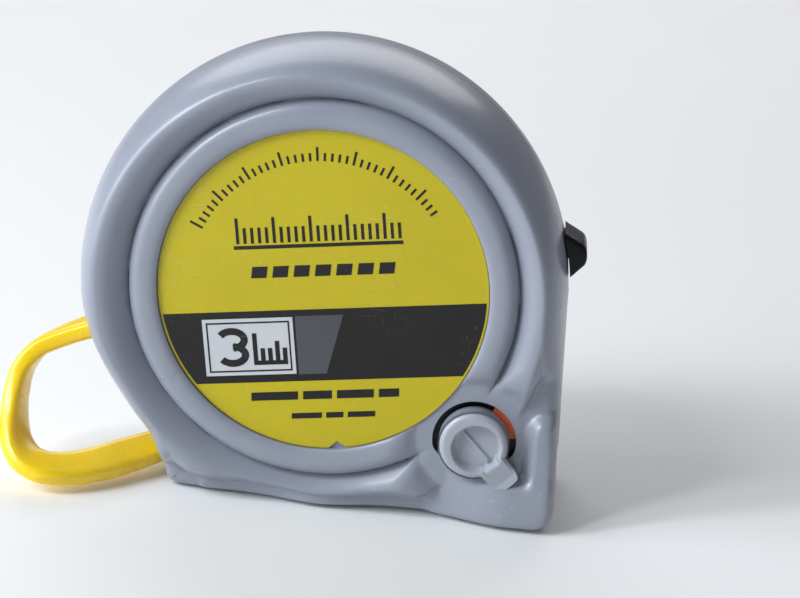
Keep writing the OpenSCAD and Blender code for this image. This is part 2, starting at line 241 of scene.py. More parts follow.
def make_mesh(name: str, points: np.ndarray, faces: list, crease: float = 35.0) -> bpy.types.Object:
    """Make a mesh object at the frame's origin.

    Args:
        name: Name of the object.
        points: Vertices in metres.
        faces: Faces as tuples of vertex numbers.
        crease: Angle in degrees above which an edge looks sharp.

    Returns:
        The new object, with its normals facing out.
    """
    mesh = bpy.data.meshes.new(name)
    mesh.from_pydata([tuple(p) for p in points], [], [tuple(f) for f in faces])
    made = bpy.data.objects.new(name, mesh)
    bpy.context.scene.collection.objects.link(made)
    face_out(made)
    shade(made, crease)
    return made


def face_out(made: bpy.types.Object) -> None:
    """Turn the faces of a closed mesh outwards.

    Args:
        made: The mesh, which is changed in place.
    """
    work = bmesh.new()
    work.from_mesh(made.data)
    bmesh.ops.recalc_face_normals(work, faces=work.faces)
    work.to_mesh(made.data)
    work.free()


def shade(made: bpy.types.Object, crease: float) -> None:
    """Shade a mesh smoothly, apart from the edges sharper than crease degrees.

    Args:
        made: The mesh, which is changed in place.
        crease: Edges sharper than this many degrees stay sharp.
    """
    made.data.polygons.foreach_set("use_smooth", [True] * len(made.data.polygons))
    made.data.set_sharp_from_angle(angle=math.radians(crease))
    made.data.update()


def capped_rings(name: str, rings: Sequence[np.ndarray], crease: float = 35.0) -> bpy.types.Object:
    """Make a closed mesh from rings of points, with a fan over the first and the last.

    Args:
        name: Name of the object.
        rings: Rings of equally many points, in order.
        crease: Angle in degrees above which an edge looks sharp.

    Returns:
        The closed mesh object.
    """
    cols, rows = len(rings[0]), len(rings)
    points = np.vstack([*rings, rings[0].mean(0)[None], rings[-1].mean(0)[None]])
    first, last = rows * cols, rows * cols + 1
    faces = ring_faces(rows, cols)
    faces += [(first, (j + 1) % cols, j) for j in range(cols)]
    tail = (rows - 1) * cols
    faces += [(last, tail + j, tail + (j + 1) % cols) for j in range(cols)]
    return make_mesh(name, points, faces, crease)


def prism(name: str, outline: np.ndarray, y0: float, y1: float) -> bpy.types.Object:
    """Make a solid from an outline in X and Z, drawn out along Y.

    Args:
        name: Name of the object.
        outline: Points of the outline, as X and Z.
        y0: One end of the solid.
        y1: Other end of the solid.

    Returns:
        The closed mesh object.
    """
    count = len(outline)
    ring = [np.stack([outline[:, 0], np.full(count, y), outline[:, 1]], 1) for y in (y0, y1)]
    faces = [(j, (j + 1) % count, count + (j + 1) % count, count + j) for j in range(count)]
    faces += [tuple(range(count)), tuple(range(2 * count - 1, count - 1, -1))]
    return make_mesh(name, np.vstack(ring), faces)


def box_outline(x: tuple[float, float], z: tuple[float, float]) -> np.ndarray:
    """Return the four corners of a rectangle in X and Z."""
    return np.array([[x[0], z[0]], [x[1], z[0]], [x[1], z[1]], [x[0], z[1]]])


def carve(made: bpy.types.Object, cutters: Sequence[bpy.types.Object], crease: float) -> None:
    """Cut solids out of a mesh and take the cutters away.

    Args:
        made: The mesh that is cut.
        cutters: Closed meshes, removed afterwards.
        crease: Angle in degrees above which an edge of the result looks sharp.
    """
    for cutter in cutters:
        cut = made.modifiers.new(cutter.name, "BOOLEAN")
        cut.operation, cut.object, cut.solver = "DIFFERENCE", cutter, "MANIFOLD"
    apply_modifiers(made)
    for cutter in cutters:
        bpy.data.objects.remove(cutter)
    shade(made, crease)


def merge(name: str, parts: Sequence[bpy.types.Object], crease: float = 32.0) -> bpy.types.Object:
    """Join several meshes into one object.

    Args:
        name: Name of the result.
        parts: Mesh objects, removed afterwards.
        crease: Angle in degrees above which an edge looks sharp.

    Returns:
        One object that holds all the meshes.
    """
    points, faces, start = [], [], 0
    for part in parts:
        points += [tuple(v.co) for v in part.data.vertices]
        faces += [tuple(start + i for i in f.vertices) for f in part.data.polygons]
        start = len(points)
        bpy.data.objects.remove(part)
    return make_mesh(name, np.array(points), faces, crease)


def apply_modifiers(made: bpy.types.Object) -> None:
    """Replace an object's mesh with what its modifiers make of it.

    Args:
        made: The mesh, which is changed in place.
    """
    graph = bpy.context.evaluated_depsgraph_get()
    mesh = bpy.data.meshes.new_from_object(made.evaluated_get(graph))
    made.modifiers.clear()
    made.data = mesh


def round_edges(made: bpy.types.Object, width: float) -> None:
    """Give a piece small rounded edges without touching its mesh.

    Args:
        made: The piece, which may be one of the frame's own.
        width: Width of the rounding.
    """
    weld = made.modifiers.new("weld", "WELD")
    weld.merge_threshold = WELD_GAP
    bevel = made.modifiers.new("edges", "BEVEL")
    bevel.width, bevel.segments, bevel.limit_method = width, 3, "ANGLE"
    bevel.angle_limit = math.radians(BEVEL_ANGLE)
    bevel.harden_normals = True


# ---------------------------------------------------------------- finishes


class Graph:
    """A short way to write a material's node tree."""

    def __init__(self, name: str) -> None:
        """Start a material with a principled shader and object coordinates.

        Args:
            name: Name of the material.
        """
        self.material = bpy.data.materials.new(name)
        self.material.use_nodes = True
        self.tree = self.material.node_tree
        self.tree.nodes.clear()
        self.out = self.add("ShaderNodeOutputMaterial")
        self.shader = self.add("ShaderNodeBsdfPrincipled")
        self.tree.links.new(self.shader.outputs[0], self.out.inputs["Surface"])
        self.place = self.add("ShaderNodeTexCoord").outputs["Object"]

    def add(self, kind: str, **settings: Union[str, bool]) -> bpy.types.Node:
        """Add a node and set its properties.

        Args:
            kind: Type of the node.
            settings: Properties of the node, by name.

        Returns:
            The node.
        """
        node = self.tree.nodes.new(kind)
        for key, value in settings.items():
            setattr(node, key, value)
        return node

    def put(self, socket: Socket, value: Value) -> None:
        """Link a socket to an input, or set the input's own value.

        Args:
            socket: The input.
            value: A socket to link, or a number or colour to set.
        """
        if isinstance(value, Socket):
            self.tree.links.new(value, socket)
        elif isinstance(value, tuple) and len(socket.default_value) == 4:
            socket.default_value = (*value[:3], 1.0)
        else:
            socket.default_value = value

    def set(self, **inputs: Value) -> None:
        """Set inputs of the shader by name, with _ for a space."""
        for key, value in inputs.items():
            self.put(self.shader.inputs[key.replace("_", " ")], value)

    def math(self, operation: str, a: Value, b: Value = 0.0, clamp: bool = False) -> Socket:
        """Add a math node and return its result.

        Args:
            operation: Name of the operation.
            a: First value.
            b: Second value.
            clamp: Whether the result is held from 0 to 1.

        Returns:
            The result's socket.
        """
        node = self.add("ShaderNodeMath", operation=operation, use_clamp=clamp)
        self.put(node.inputs[0], a)
        self.put(node.inputs[1], b)
        return node.outputs[0]

    def stretched(self, scale: Sequence[float]) -> Socket:
        """Return the place on the piece, scaled along each axis.

        Args:
            scale: Scale along X, Y and Z.

        Returns:
            The scaled place.
        """
        node = self.add("ShaderNodeMapping")
        self.put(node.inputs["Vector"], self.place)
        node.inputs["Scale"].default_value = tuple(scale)
        return node.outputs[0]

    def noise(self, scale: float, detail: float = 4.0, at: Union[Socket, None] = None) -> Socket:
        """Add a noise.

        Args:
            scale: How many cells lie in a metre.
            detail: How many octaves are summed.
            at: The place it is read at, or None for the place on the piece.

        Returns:
            The noise's socket, about 0.5.
        """
        node = self.add("ShaderNodeTexNoise")
        self.put(node.inputs["Vector"], at or self.place)
        node.inputs["Scale"].default_value = scale
        node.inputs["Detail"].default_value = detail
        return node.outputs[0]

    def specks(self, scale: float, size: float) -> Socket:
        """Add small scattered dots.

        Args:
            scale: How many dots lie in a metre.
            size: A dot's radius, as a share of a cell.

        Returns:
            A socket that is 1 on the dots and 0 elsewhere.
        """
        node = self.add("ShaderNodeTexVoronoi")
        self.put(node.inputs["Vector"], self.place)
        node.inputs["Scale"].default_value = scale
        return self.span(node.outputs["Distance"], size, size * 0.4)

    def span(self, value: Value, low: float, high: float, to_low: float = 0.0,
             to_high: float = 1.0) -> Socket:
        """Move a value from one range to another, held at the ends.

        Args:
            value: The value.
            low: Where the first range starts.
            high: Where the first range ends.
            to_low: Where the second range starts.
            to_high: Where the second range ends.

        Returns:
            The moved value's socket.
        """
        node = self.add("ShaderNodeMapRange")
        self.put(node.inputs["Value"], value)
        for key, number in zip(("From Min", "From Max", "To Min", "To Max"),
                               (low, high, to_low, to_high)):
            node.inputs[key].default_value = number
        return node.outputs[0]

    def blend(self, share: Value, a: Value, b: Value) -> Socket:
        """Blend two colours.

        Args:
            share: How far from a to b.
            a: First colour.
            b: Second colour.

        Returns:
            The blended colour's socket.
        """
        node = self.add("ShaderNodeMix", data_type="RGBA")
        self.put(node.inputs["Factor"], share)
        self.put(node.inputs[6], a)
        self.put(node.inputs[7], b)
        return node.outputs[2]

    def relief(self, height: Socket, depth: float, strength: float = 1.0,
               under: Union[Socket, None] = None) -> Socket:
        """Bend the surface's normal by a height.

        Args:
            height: The height, from 0 to 1.
            depth: What a height of 1 stands for, in metres.
            strength: How much of the bend shows.
            under: A normal that is bent already, or None.

        Returns:
            The bent normal's socket.
        """
        node = self.add("ShaderNodeBump")
        self.put(node.inputs["Height"], height)
        node.inputs["Distance"].default_value = depth
        node.inputs["Strength"].default_value = strength
        if under is not None:
            self.put(node.inputs["Normal"], under)
        return node.outputs[0]

    def worn_edge(self, low: float, high: float) -> Socket:
        """Return 1 on convex edges and 0 on flats."""
        node = self.add("ShaderNodeNewGeometry")
        return self.span(node.outputs["Pointiness"], low, high)


@dataclass(frozen=True)
class Moulded:
    """Moulded plastic, vinyl or rubber: clouded colour, fine grain, scuffs and dust."""

    colour: Colour
    cloud: Colour
    dust: Colour = (0.55, 0.55, 0.55)
    roughness: float = 0.3
    scuffs: float = 0.12
    grain: float = 0.004 * MM
    waviness: float = 0.0
    coat: float = 0.0
    dusting: float = 0.25
    subsurface: float = 0.0
    glow: Colour = (1.0, 0.8, 0.2)
    shine: float = 0.5

    def material(self, name: str) -> bpy.types.Material:
        """Build the material.

        Args:
            name: Name of the material.

        Returns:
            The material.
        """
        g = Graph(name)
        clouds = g.span(g.noise(90.0, 5.0), 0.35, 0.68)
        colour = g.blend(clouds, self.colour, self.cloud)
        dots = g.math("MULTIPLY", g.specks(520.0, 0.16), g.span(g.noise(45.0), 0.5, 0.62))
        colour = g.blend(g.math("MULTIPLY", dots, self.dusting), colour, self.dust)
        worn = g.math("MULTIPLY", g.worn_edge(0.53, 0.6), 0.35)
        colour = g.blend(worn, colour, self.cloud)
        rub = g.noise(300.0, 8.0, g.stretched((1.0, 1.0, 7.0)))
        cross = g.noise(260.0, 8.0, g.stretched((8.0, 1.0, 1.0)))
        marks = g.math("MULTIPLY", g.span(rub, 0.56, 0.7), g.span(g.noise(60.0), 0.45, 0.6))
        marks = g.math("MAXIMUM", marks, g.span(cross, 0.6, 0.74))
        rough = g.math("MULTIPLY_ADD", marks, self.scuffs)
        rough.node.inputs[2].default_value = self.roughness
        rough = g.math("ADD", rough, g.span(g.noise(140.0), 0.3, 0.7, -0.03, 0.04), True)
        bump = g.relief(g.noise(4200.0, 3.0), self.grain, 0.6)
        if self.waviness:
            bump = g.relief(g.noise(110.0, 2.0), self.waviness, 1.0, bump)
        g.set(Base_Color=colour, Roughness=rough, Normal=bump, Coat_Weight=self.coat,
              Coat_Roughness=0.12, IOR=1.5, Specular_IOR_Level=self.shine)
        if self.subsurface:
            g.set(Subsurface_Weight=self.subsurface, Subsurface_Scale=2.0 * MM,
                  Subsurface_Radius=self.glow)
        return g.material


@dataclass(frozen=True)
class Plated:
    """Sheet or turned steel with a plated face: drawn lines and stains."""

    colour: Colour
    stain: Colour
    roughness: float = 0.28
    lines: Sequence[float] = (1.0, 12.0, 1.0)

    def material(self, name: str) -> bpy.types.Material:
        """Build the material.

        Args:
            name: Name of the material.

        Returns:
            The material.
        """
        g = Graph(name)
        drawn = g.noise(900.0, 6.0, g.stretched(self.lines))
        stains = g.span(g.noise(150.0, 6.0), 0.5, 0.72)
        colour = g.blend(g.math("MULTIPLY", stains, 0.45), self.colour, self.stain)
        rough = g.span(drawn, 0.3, 0.75, self.roughness - 0.08, self.roughness + 0.12)
        rough = g.math("ADD", rough, g.math("MULTIPLY", stains, 0.15), True)
        bump = g.relief(drawn, 0.003 * MM, 0.5)
        g.set(Base_Color=colour, Roughness=rough, Metallic=1.0, Normal=bump)
        return g.material


@dataclass(frozen=True)
class Film:
    """Printed film on a flat disc: even ink under a clear face, with dust and fine scratches."""

    colour: Colour
    cloud: Colour
    roughness: float = 0.27
    scratch: Colour = (0.75, 0.72, 0.5)
    scratching: float = 0.25

    def material(self, name: str) -> bpy.types.Material:
        """Build the material.

        Args:
            name: Name of the material.

        Returns:
            The material.
        """
        g = Graph(name)
        colour = g.blend(g.span(g.noise(60.0, 3.0), 0.35, 0.7), self.colour, self.cloud)
        lines = [g.span(g.noise(scale, 2.0, g.stretched(way)), 0.64, 0.7)
                 for scale, way in ((420.0, (1.0, 1.0, 16.0)), (380.0, (14.0, 1.0, 2.0)))]
        lines = g.math("MULTIPLY", g.math("MAXIMUM", *lines), g.span(g.noise(80.0), 0.5, 0.65))
        dots = g.math("MULTIPLY", g.specks(600.0, 0.12), g.span(g.noise(70.0), 0.48, 0.6))
        wear = g.math("MULTIPLY", g.math("MAXIMUM", lines, dots), self.scratching)
        colour = g.blend(wear, colour, self.scratch)
        rough = g.math("ADD", g.span(g.noise(110.0, 5.0), 0.3, 0.7, self.roughness - 0.05,
                                     self.roughness + 0.06), g.math("MULTIPLY", wear, 0.5), True)
        bump = g.relief(g.noise(2600.0, 2.0), 0.002 * MM, 0.4)
        bump = g.relief(g.noise(60.0, 1.0), 0.02 * MM, 1.0, bump)
        g.set(Base_Color=colour, Roughness=rough, Normal=bump, Coat_Weight=0.1,
              Coat_Roughness=0.15, Specular_IOR_Level=0.35)
        return g.material


@dataclass(frozen=True)
class Ruled:
    """Lacquered blade with printed lines: one each millimetre, longer ones at 5 and 10."""

    colour: Colour
    ink: Colour
    half_width: float
    end_x: float

    def material(self, name: str) -> bpy.types.Material:
        """Build the material.

        Args:
            name: Name of the material.

        Returns:
            The material.
        """
        g = Graph(name)
        split = g.add("ShaderNodeSeparateXYZ")
        g.put(split.inputs[0], g.place)
        from_end = g.math("SUBTRACT", self.end_x, split.outputs["X"])
        side = g.math("ABSOLUTE", split.outputs["Y"])
        marks = None
        for step, length, width in ((1.0, 3.0, 0.07), (5.0, 4.4, 0.08), (10.0, 8.0, 0.1)):
            phase = g.math("FRACT", g.math("DIVIDE", g.math("ADD", from_end, 0.5 * width * MM),
                                           step * MM))
            line = g.math("LESS_THAN", phase, width / step)
            near = g.math("GREATER_THAN", side, self.half_width - length * MM)
            mark = g.math("MULTIPLY", line, near)
            marks = mark if marks is None else g.math("MAXIMUM", marks, mark)
        border = g.math("GREATER_THAN", side, self.half_width - 0.25 * MM)
        colour = g.blend(g.span(g.noise(80.0), 0.35, 0.7), self.colour,
                         tuple(0.9 * c for c in self.colour))
        colour = g.blend(g.math("MAXIMUM", marks, border), colour, self.ink)
        rough = g.span(g.noise(240.0, 7.0, g.stretched((1.0, 9.0, 1.0))), 0.3, 0.75, 0.24, 0.42)
        g.set(Base_Color=colour, Roughness=rough, Coat_Weight=0.4, Coat_Roughness=0.12,
              Normal=g.relief(g.noise(3000.0), 0.002 * MM, 0.4))
        return g.material


Finish = Union[Moulded, Plated, Film, Ruled]


class Finishes:
    """Every finish of the object, each built once."""

    def __init__(self) -> None:
        """List the finishes that are known before the frame is read."""
        self.listed: dict[Look, Finish] = {
            Look.CASE: Moulded((0.275, 0.295, 0.360), (0.300, 0.320, 0.380), roughness=0.3,
                               scuffs=0.09, grain=0.001 * MM, waviness=0.01 * MM, coat=0.15),
            Look.KNOB: Moulded((0.36, 0.385, 0.45), (0.41, 0.43, 0.485), roughness=0.3,
                               grain=0.003 * MM, coat=0.15),
            Look.ORANGE: Moulded((0.72, 0.13, 0.03), (0.62, 0.10, 0.03), roughness=0.4),
            Look.BLACK: Moulded((0.004, 0.004, 0.006), (0.008, 0.008, 0.011),
                                dust=(0.2, 0.2, 0.2), roughness=0.3, dusting=0.1, shine=0.22),
            Look.RUBBER: Moulded((0.02, 0.02, 0.02), (0.035, 0.035, 0.035), roughness=0.75,
                                 grain=0.02 * MM),
            Look.NATURAL: Moulded((0.68, 0.68, 0.64), (0.6, 0.6, 0.56), roughness=0.45),
            Look.VINYL: Moulded((0.95, 0.66, 0.004), (0.93, 0.60, 0.004), dust=(0.8, 0.7, 0.3),
                                roughness=0.26, scuffs=0.1, grain=0.003 * MM,
                                waviness=0.03 * MM, coat=0.3, dusting=0.1, subsurface=0.35),
            Look.STEEL: Plated((0.58, 0.58, 0.60), (0.38, 0.35, 0.30), 0.34),
            Look.BRIGHT: Plated((0.72, 0.72, 0.73), (0.48, 0.46, 0.42), 0.22, (14.0, 1.0, 1.0)),
            Look.SPRING: Plated((0.30, 0.32, 0.36), (0.20, 0.16, 0.12), 0.3),
            Look.COIL: Plated((0.70, 0.55, 0.06), (0.35, 0.28, 0.06), 0.35, (1.0, 40.0, 1.0)),
            Look.LABEL: Film((0.56, 0.46, 0.008), (0.52, 0.43, 0.008)),
            Look.INK: Film((0.006, 0.005, 0.005), (0.010, 0.008, 0.008), 0.3,
                           (0.22, 0.2, 0.18), 0.35),
            Look.WHITE_INK: Film((0.60, 0.61, 0.64), (0.54, 0.56, 0.60), 0.32),
            Look.GREY_INK: Film((0.075, 0.078, 0.09), (0.06, 0.062, 0.07), 0.3,
                                (0.3, 0.3, 0.3), 0.2),
        }
        self.built: dict[Look, bpy.types.Material] = {}

    def get(self, look: Look) -> bpy.types.Material:
        """Return the material of a listed finish, which is built when it is first asked for.

        Args:
            look: The finish.

        Returns:
            The material.
        """
        if look not in self.built:
            self.built[look] = self.listed[look].material(look.value)
        return self.built[look]

    def add(self, look: Look, finish: Finish) -> None:
        """List one more finish."""
        self.listed[look] = finish

    def dress(self, made: bpy.types.Object, look: Look) -> None:
        """Give an object one finish all over."""
        made.data.materials.clear()
        made.data.materials.append(self.get(look))


FINISHES = Finishes()


@dataclass
class Piece:
    """What a finished mesh needs to join the object."""

    made: bpy.types.Object
    body: Body
    slot: Slot
    look: Look
    replaces: Sequence[str] = ()

    def join(self) -> bpy.types.Object:
        """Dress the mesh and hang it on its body.

        Returns:
            The piece's object, in its place under its body.
        """
        FINISHES.dress(self.made, self.look)
        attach(self.made, self.body.value)
        if self.replaces:
            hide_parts(*self.replaces)
        LOG.info("piece %s rides on %s", self.made.name, self.body.value)
        return self.made


# ---------------------------------------------------------------- layout


@dataclass(frozen=True)
class Layout:
    """Places and sizes that the whole object shares, read from the frame."""

    axis_z: float
    face_x: float
    face_z: float
    case_r: float
    mouth_x: float
    bead_y: float
    label_r: float
    label_y: float
    floor_y: float
    knob_x: float
    knob_z: float
    knob_top: float

    @staticmethod
    def read() -> "Layout":
        """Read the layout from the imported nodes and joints.

        Returns:
            The measures, in metres.
        """
        joints = {j["name"]: j for j in frame["joints"]}
        shell_low, shell_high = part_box("front_shell")
        label_low, label_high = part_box("front_label")
        knob = joints["brake_turn"]["pos_m"]
        return Layout(
            axis_z=joints["reel_spin"]["pos_m"][2], face_x=(label_high.x + label_low.x) / 2,
            face_z=(label_high.z + label_low.z) / 2, case_r=-shell_low.x,
            mouth_x=shell_high.x, bead_y=-shell_low.y,
            label_r=(label_high.x - label_low.x) / 2, label_y=-label_low.y,
            floor_y=-label_high.y, knob_x=knob[0], knob_z=knob[2],
            knob_top=-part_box("brake_knob")[0].y)

    def from_axis(self, angle: float, radius: float) -> tuple[float, float]:
        """Return the X and Z of a point at an angle in degrees about the reel's axis."""
        turn = math.radians(angle)
        return radius * math.cos(turn), self.axis_z + radius * math.sin(turn)


# ---------------------------------------------------------------- case


@dataclass
class CaseShell:
    """One half of the moulded case, with its bead, inner ring, foot, chin and pocket."""

    layout: Layout
    side: Side
    columns: int = 640
    face_rows: int = 52
    rim_rows: int = 16
    foot_x: float = 20.5 * MM
    foot_r: float = 1.8 * MM
    foot_angle: float = 229.5
    foot_turn: float = 185.0
    corner_r: float = 3.0 * MM
    outline_passes: int = 5
    width_passes: int = 12
    block_passes: int = 30
    crease: float = 40.0
    bead_r: float = 30.6 * MM
    bead_y: float = 12.2 * MM
    valley_r: float = 26.7 * MM
    valley_y: float = 9.25 * MM
    crest_y: float = 11.2 * MM
    lip_y: float = 10.35 * MM
    lip_gap: float = 0.12 * MM
    rim_power: float = 1.85
    slope_power: float = 2.1
    waist: float = 1.2 * MM
    waist_from: float = 186.0
    waist_run: float = 30.0
    flank_r: float = 33.4 * MM
    flank_turn: tuple[float, float] = (-128.0, -8.0)
    flank_run: float = 18.0
    hump_power: float = 2.2
    block_power: float = 4.3
    block_edge: float = 2.2 * MM
    block_turn: tuple[float, float, float] = (300.0, 325.0, 30.0)
    block_y: float = 9.4 * MM
    level_edge: tuple[float, float] = (0.4 * MM, 1.8 * MM)
    level_blend: float = 0.5 * MM
    foot_y: float = 7.8 * MM
    foot_run: tuple[float, float] = (-20.0 * MM, -7.0 * MM)
    pocket_y: float = 9.95 * MM
    pocket_r: float = 8.1 * MM
    pocket_slope: float = 0.62
    pocket_blend: float = 1.3 * MM
    pocket_near: tuple[float, float] = (15.0 * MM, 3.0 * MM)
    pocket_flat: tuple[float, float] = (1.6 * MM, 3.4 * MM)
    chin: tuple[float, float, float] = (17.3 * MM, 7.2 * MM, 3.0 * MM)
    chin_run: tuple[float, float] = (15.5 * MM, 28.5 * MM)
    chin_y: tuple[float, float] = (9.3 * MM, 12.3 * MM)
    chin_soft: float = 2.8 * MM
    base_y: float = 8.7 * MM
    base_bulge: tuple[float, float, float] = (1.9 * MM, 2.0 * MM, 6.5 * MM)
    base_slope: float = 1.4
    base_blend: float = 0.8 * MM
    post: tuple[float, float, float] = (30.6 * MM, 16.6 * MM, 1.9 * MM)
    post_y: float = 11.3 * MM
    post_soft: float = 2.2 * MM
    seam: float = 0.13 * MM
    hole_r: float = 5.8 * MM
    hole_less: float = 0.72 * MM
    hole_shut: tuple[float, float, float] = (-168.0, -10.0, 26.0)
    hole_bottom: float = 8.0 * MM
    hole_y: float = 9.2 * MM
    seat_r: float = 6.65 * MM
    seat_y: float = 7.0 * MM
    cavity_r: float = 31.9 * MM
    cavity_y: float = 8.4 * MM
    room_turn: tuple[float, float] = (-65.4, 243.0)
    room_less: float = 1.9 * MM
    room_step: tuple[float, float] = (40.0, 20.0)
    past: float = 1.0 * MM
    way_x: float = 20.0 * MM
    way_in: float = 9.0 * MM
    way_up: float = 1.2 * MM
    mouth_z: float = 12.0 * MM
    mouth_y: float = 8.6 * MM
    bumper_lap: float = 0.1 * MM
    window_turn: tuple[float, float] = (2.5, 17.0)
    window_y: float = 2.2 * MM
    strap_high: tuple[float, float, float, float] = (-26.0 * MM, 17.8 * MM, 24.0 * MM, 3.5 * MM)
    strap_low: tuple[float, float, float, float, float] = (
        -25.0 * MM, -15.0 * MM, 0.9 * MM, 7.4 * MM, 4.6 * MM)

    def outline(self) -> np.ndarray:
        """Return the case's outline in X and Z, counter-clockwise from the right side.

        Returns:
            The outline's X and Z, one row each.
        """
        lay, r = self.layout, self.corner_r
        turn = np.linspace(0.0, self.foot_angle, 221)
        far = lay.case_r - self.waist * ease((turn - self.waist_from) / self.waist_run)
        turn = np.radians(turn)
        path = np.vstack([
            np.stack([far * np.cos(turn), lay.axis_z + far * np.sin(turn)], 1),
            arc((self.foot_r - self.foot_x, self.foot_r), self.foot_r, self.foot_turn, 270.0, 10),
            arc((lay.mouth_x - r, r), r, -90.0, 0.0, 14)])
        return soften(resample(path, self.columns), self.outline_passes)

    def straightness(self, edge: np.ndarray) -> np.ndarray:
        """Tell the straight block of the outline from the case's circle.

        Args:
            edge: Points of the outline in X and Z.

        Returns:
            0 at each point on the circle and 1 along the straight block.
        """
        lay = self.layout
        turn = np.degrees(np.arctan2(edge[:, 1] - lay.axis_z, edge[:, 0])) % 360.0
        begin, end, run = self.block_turn
        right = 1.0 - ease((turn - end) / run)
        block = np.where(turn > begin, right, np.where(turn > self.foot_angle - 1.0, 1.0, 0.0))
        return soften(block, self.block_passes)

    def reach(self, x: np.ndarray, z: np.ndarray) -> np.ndarray:
        """Return a distance that runs from the label's middle to the case's round edge.

        Args:
            x: X of each point.
            z: Z of each point.

        Returns:
            The distance from the label's middle inside the valley, and from the reel's
            axis at the edge, with an even change between.
        """
        lay = self.layout
        inner = np.hypot(x - lay.face_x, z - lay.face_z)
        outer = np.hypot(x, z - lay.axis_z)
        past, left = np.maximum(inner - self.valley_r, 0.0), np.maximum(lay.case_r - outer, 0.0)
        share = past / np.maximum(past + left, 1e-9)
        between = mix(self.valley_r, lay.case_r, share)
        return np.where(inner < self.valley_r, inner, np.where(left > 0.0, between, outer))

    def bead(self, r: np.ndarray, angle: np.ndarray) -> np.ndarray:
        """Return the height of the face as rings: lip, inner ring, valley and outer bead.

        Args:
            r: Distance from the reel's axis.
            angle: Angle about the axis in degrees, from -180 to 180.

        Returns:
            The height above the parting plane.
        """
        lay = self.layout
        first, last = self.flank_turn
        below = ease((last - angle) / self.flank_run) * ease((angle - first) / self.flank_run)
        end = mix(lay.case_r, self.flank_r, below)
        ring_r = 0.5 * (lay.label_r + self.valley_r)
        half = self.valley_r - ring_r
        foot = np.where(r < ring_r, self.lip_y, self.valley_y)
        away = np.clip(np.abs(r - ring_r) / half, 0.0, 1.0)
        hump = np.sqrt(np.maximum(1.0 - away ** self.hump_power, 0.0))
        inner = mix(foot, self.crest_y, hump)
        climb = np.clip((self.bead_r - r) / (self.bead_r - self.valley_r), 0.0, 1.0)
        rise = mix(self.bead_y, self.valley_y, climb ** self.slope_power)
        fall = np.clip((r - self.bead_r) / (end - self.bead_r), 0.0, 1.0)
        outer = self.bead_y * (1.0 - fall ** self.rim_power) ** (1.0 / self.rim_power)
        return np.where(r < self.valley_r, inner, np.where(r < self.bead_r, rise, outer))

    @staticmethod
    def corner_mask(x: np.ndarray, z: np.ndarray, shape: Sequence[float], soft: float) -> np.ndarray:
        """Return 1 right of and below a rounded corner, and 0 elsewhere.

        Args:
            x: X of each point.
            z: Z of each point.
            shape: X of the left side, Z of the top, and radius.
            soft: Width of the slope between.

        Returns:
            The mask.
        """
        left, top, radius = shape
        a, b = left + radius - x, z - (top - radius)
        outside = np.hypot(np.maximum(a, 0.0), np.maximum(b, 0.0))
        distance = outside + np.minimum(np.maximum(a, b), 0.0) - radius
        return ease(0.5 - distance / soft)

    def height(self, x: np.ndarray, z: np.ndarray) -> np.ndarray:
        """Return how far the face stands from the parting plane at each X and Z.

        Args:
            x: X of each point.
            z: Z of each point.

        Returns:
            The height of the face at each point.
        """
        lay = self.layout
        r = self.reach(x, z)
        angle = np.degrees(np.arctan2(z - lay.axis_z, x))
        start, end = self.foot_run
        level = mix(self.foot_y, self.block_y, ease((x - start) / (end - start)))
        gap, run = self.level_edge
        level = level * ease((r - self.valley_r - gap) / run)
        face = smooth_max(self.bead(r, angle), level, self.level_blend)
        bulge, middle, spread = self.base_bulge
        limit = self.base_y + bulge * np.exp(-((x - middle) / spread) ** 2)
        limit = limit + self.base_slope * (z - self.block_edge)
        face = -smooth_max(-face, -limit, self.base_blend)
        if self.side is Side.FRONT:
            from_knob = np.hypot(x - lay.knob_x, z - lay.knob_z)
            wall = self.pocket_y + self.pocket_slope * np.maximum(from_knob - self.pocket_r, 0.0)
            near = ease((self.pocket_near[0] - from_knob) / self.pocket_near[1])
            face = mix(face, -smooth_max(-face, -wall, self.pocket_blend), near)
            more, run = self.pocket_flat
            flat = ease((self.pocket_r + more - from_knob) / run)
            face = mix(face, self.pocket_y, flat)
            post = self.corner_mask(x, z, self.post, self.post_soft)
            face = mix(face, np.maximum(face, self.post_y), post)
        left, right = self.chin_run
        tall = mix(*self.chin_y, ease((x - left) / (right - left)))
        chin = self.corner_mask(x, z, self.chin, self.chin_soft)
        return mix(face, np.maximum(face, tall), chin)

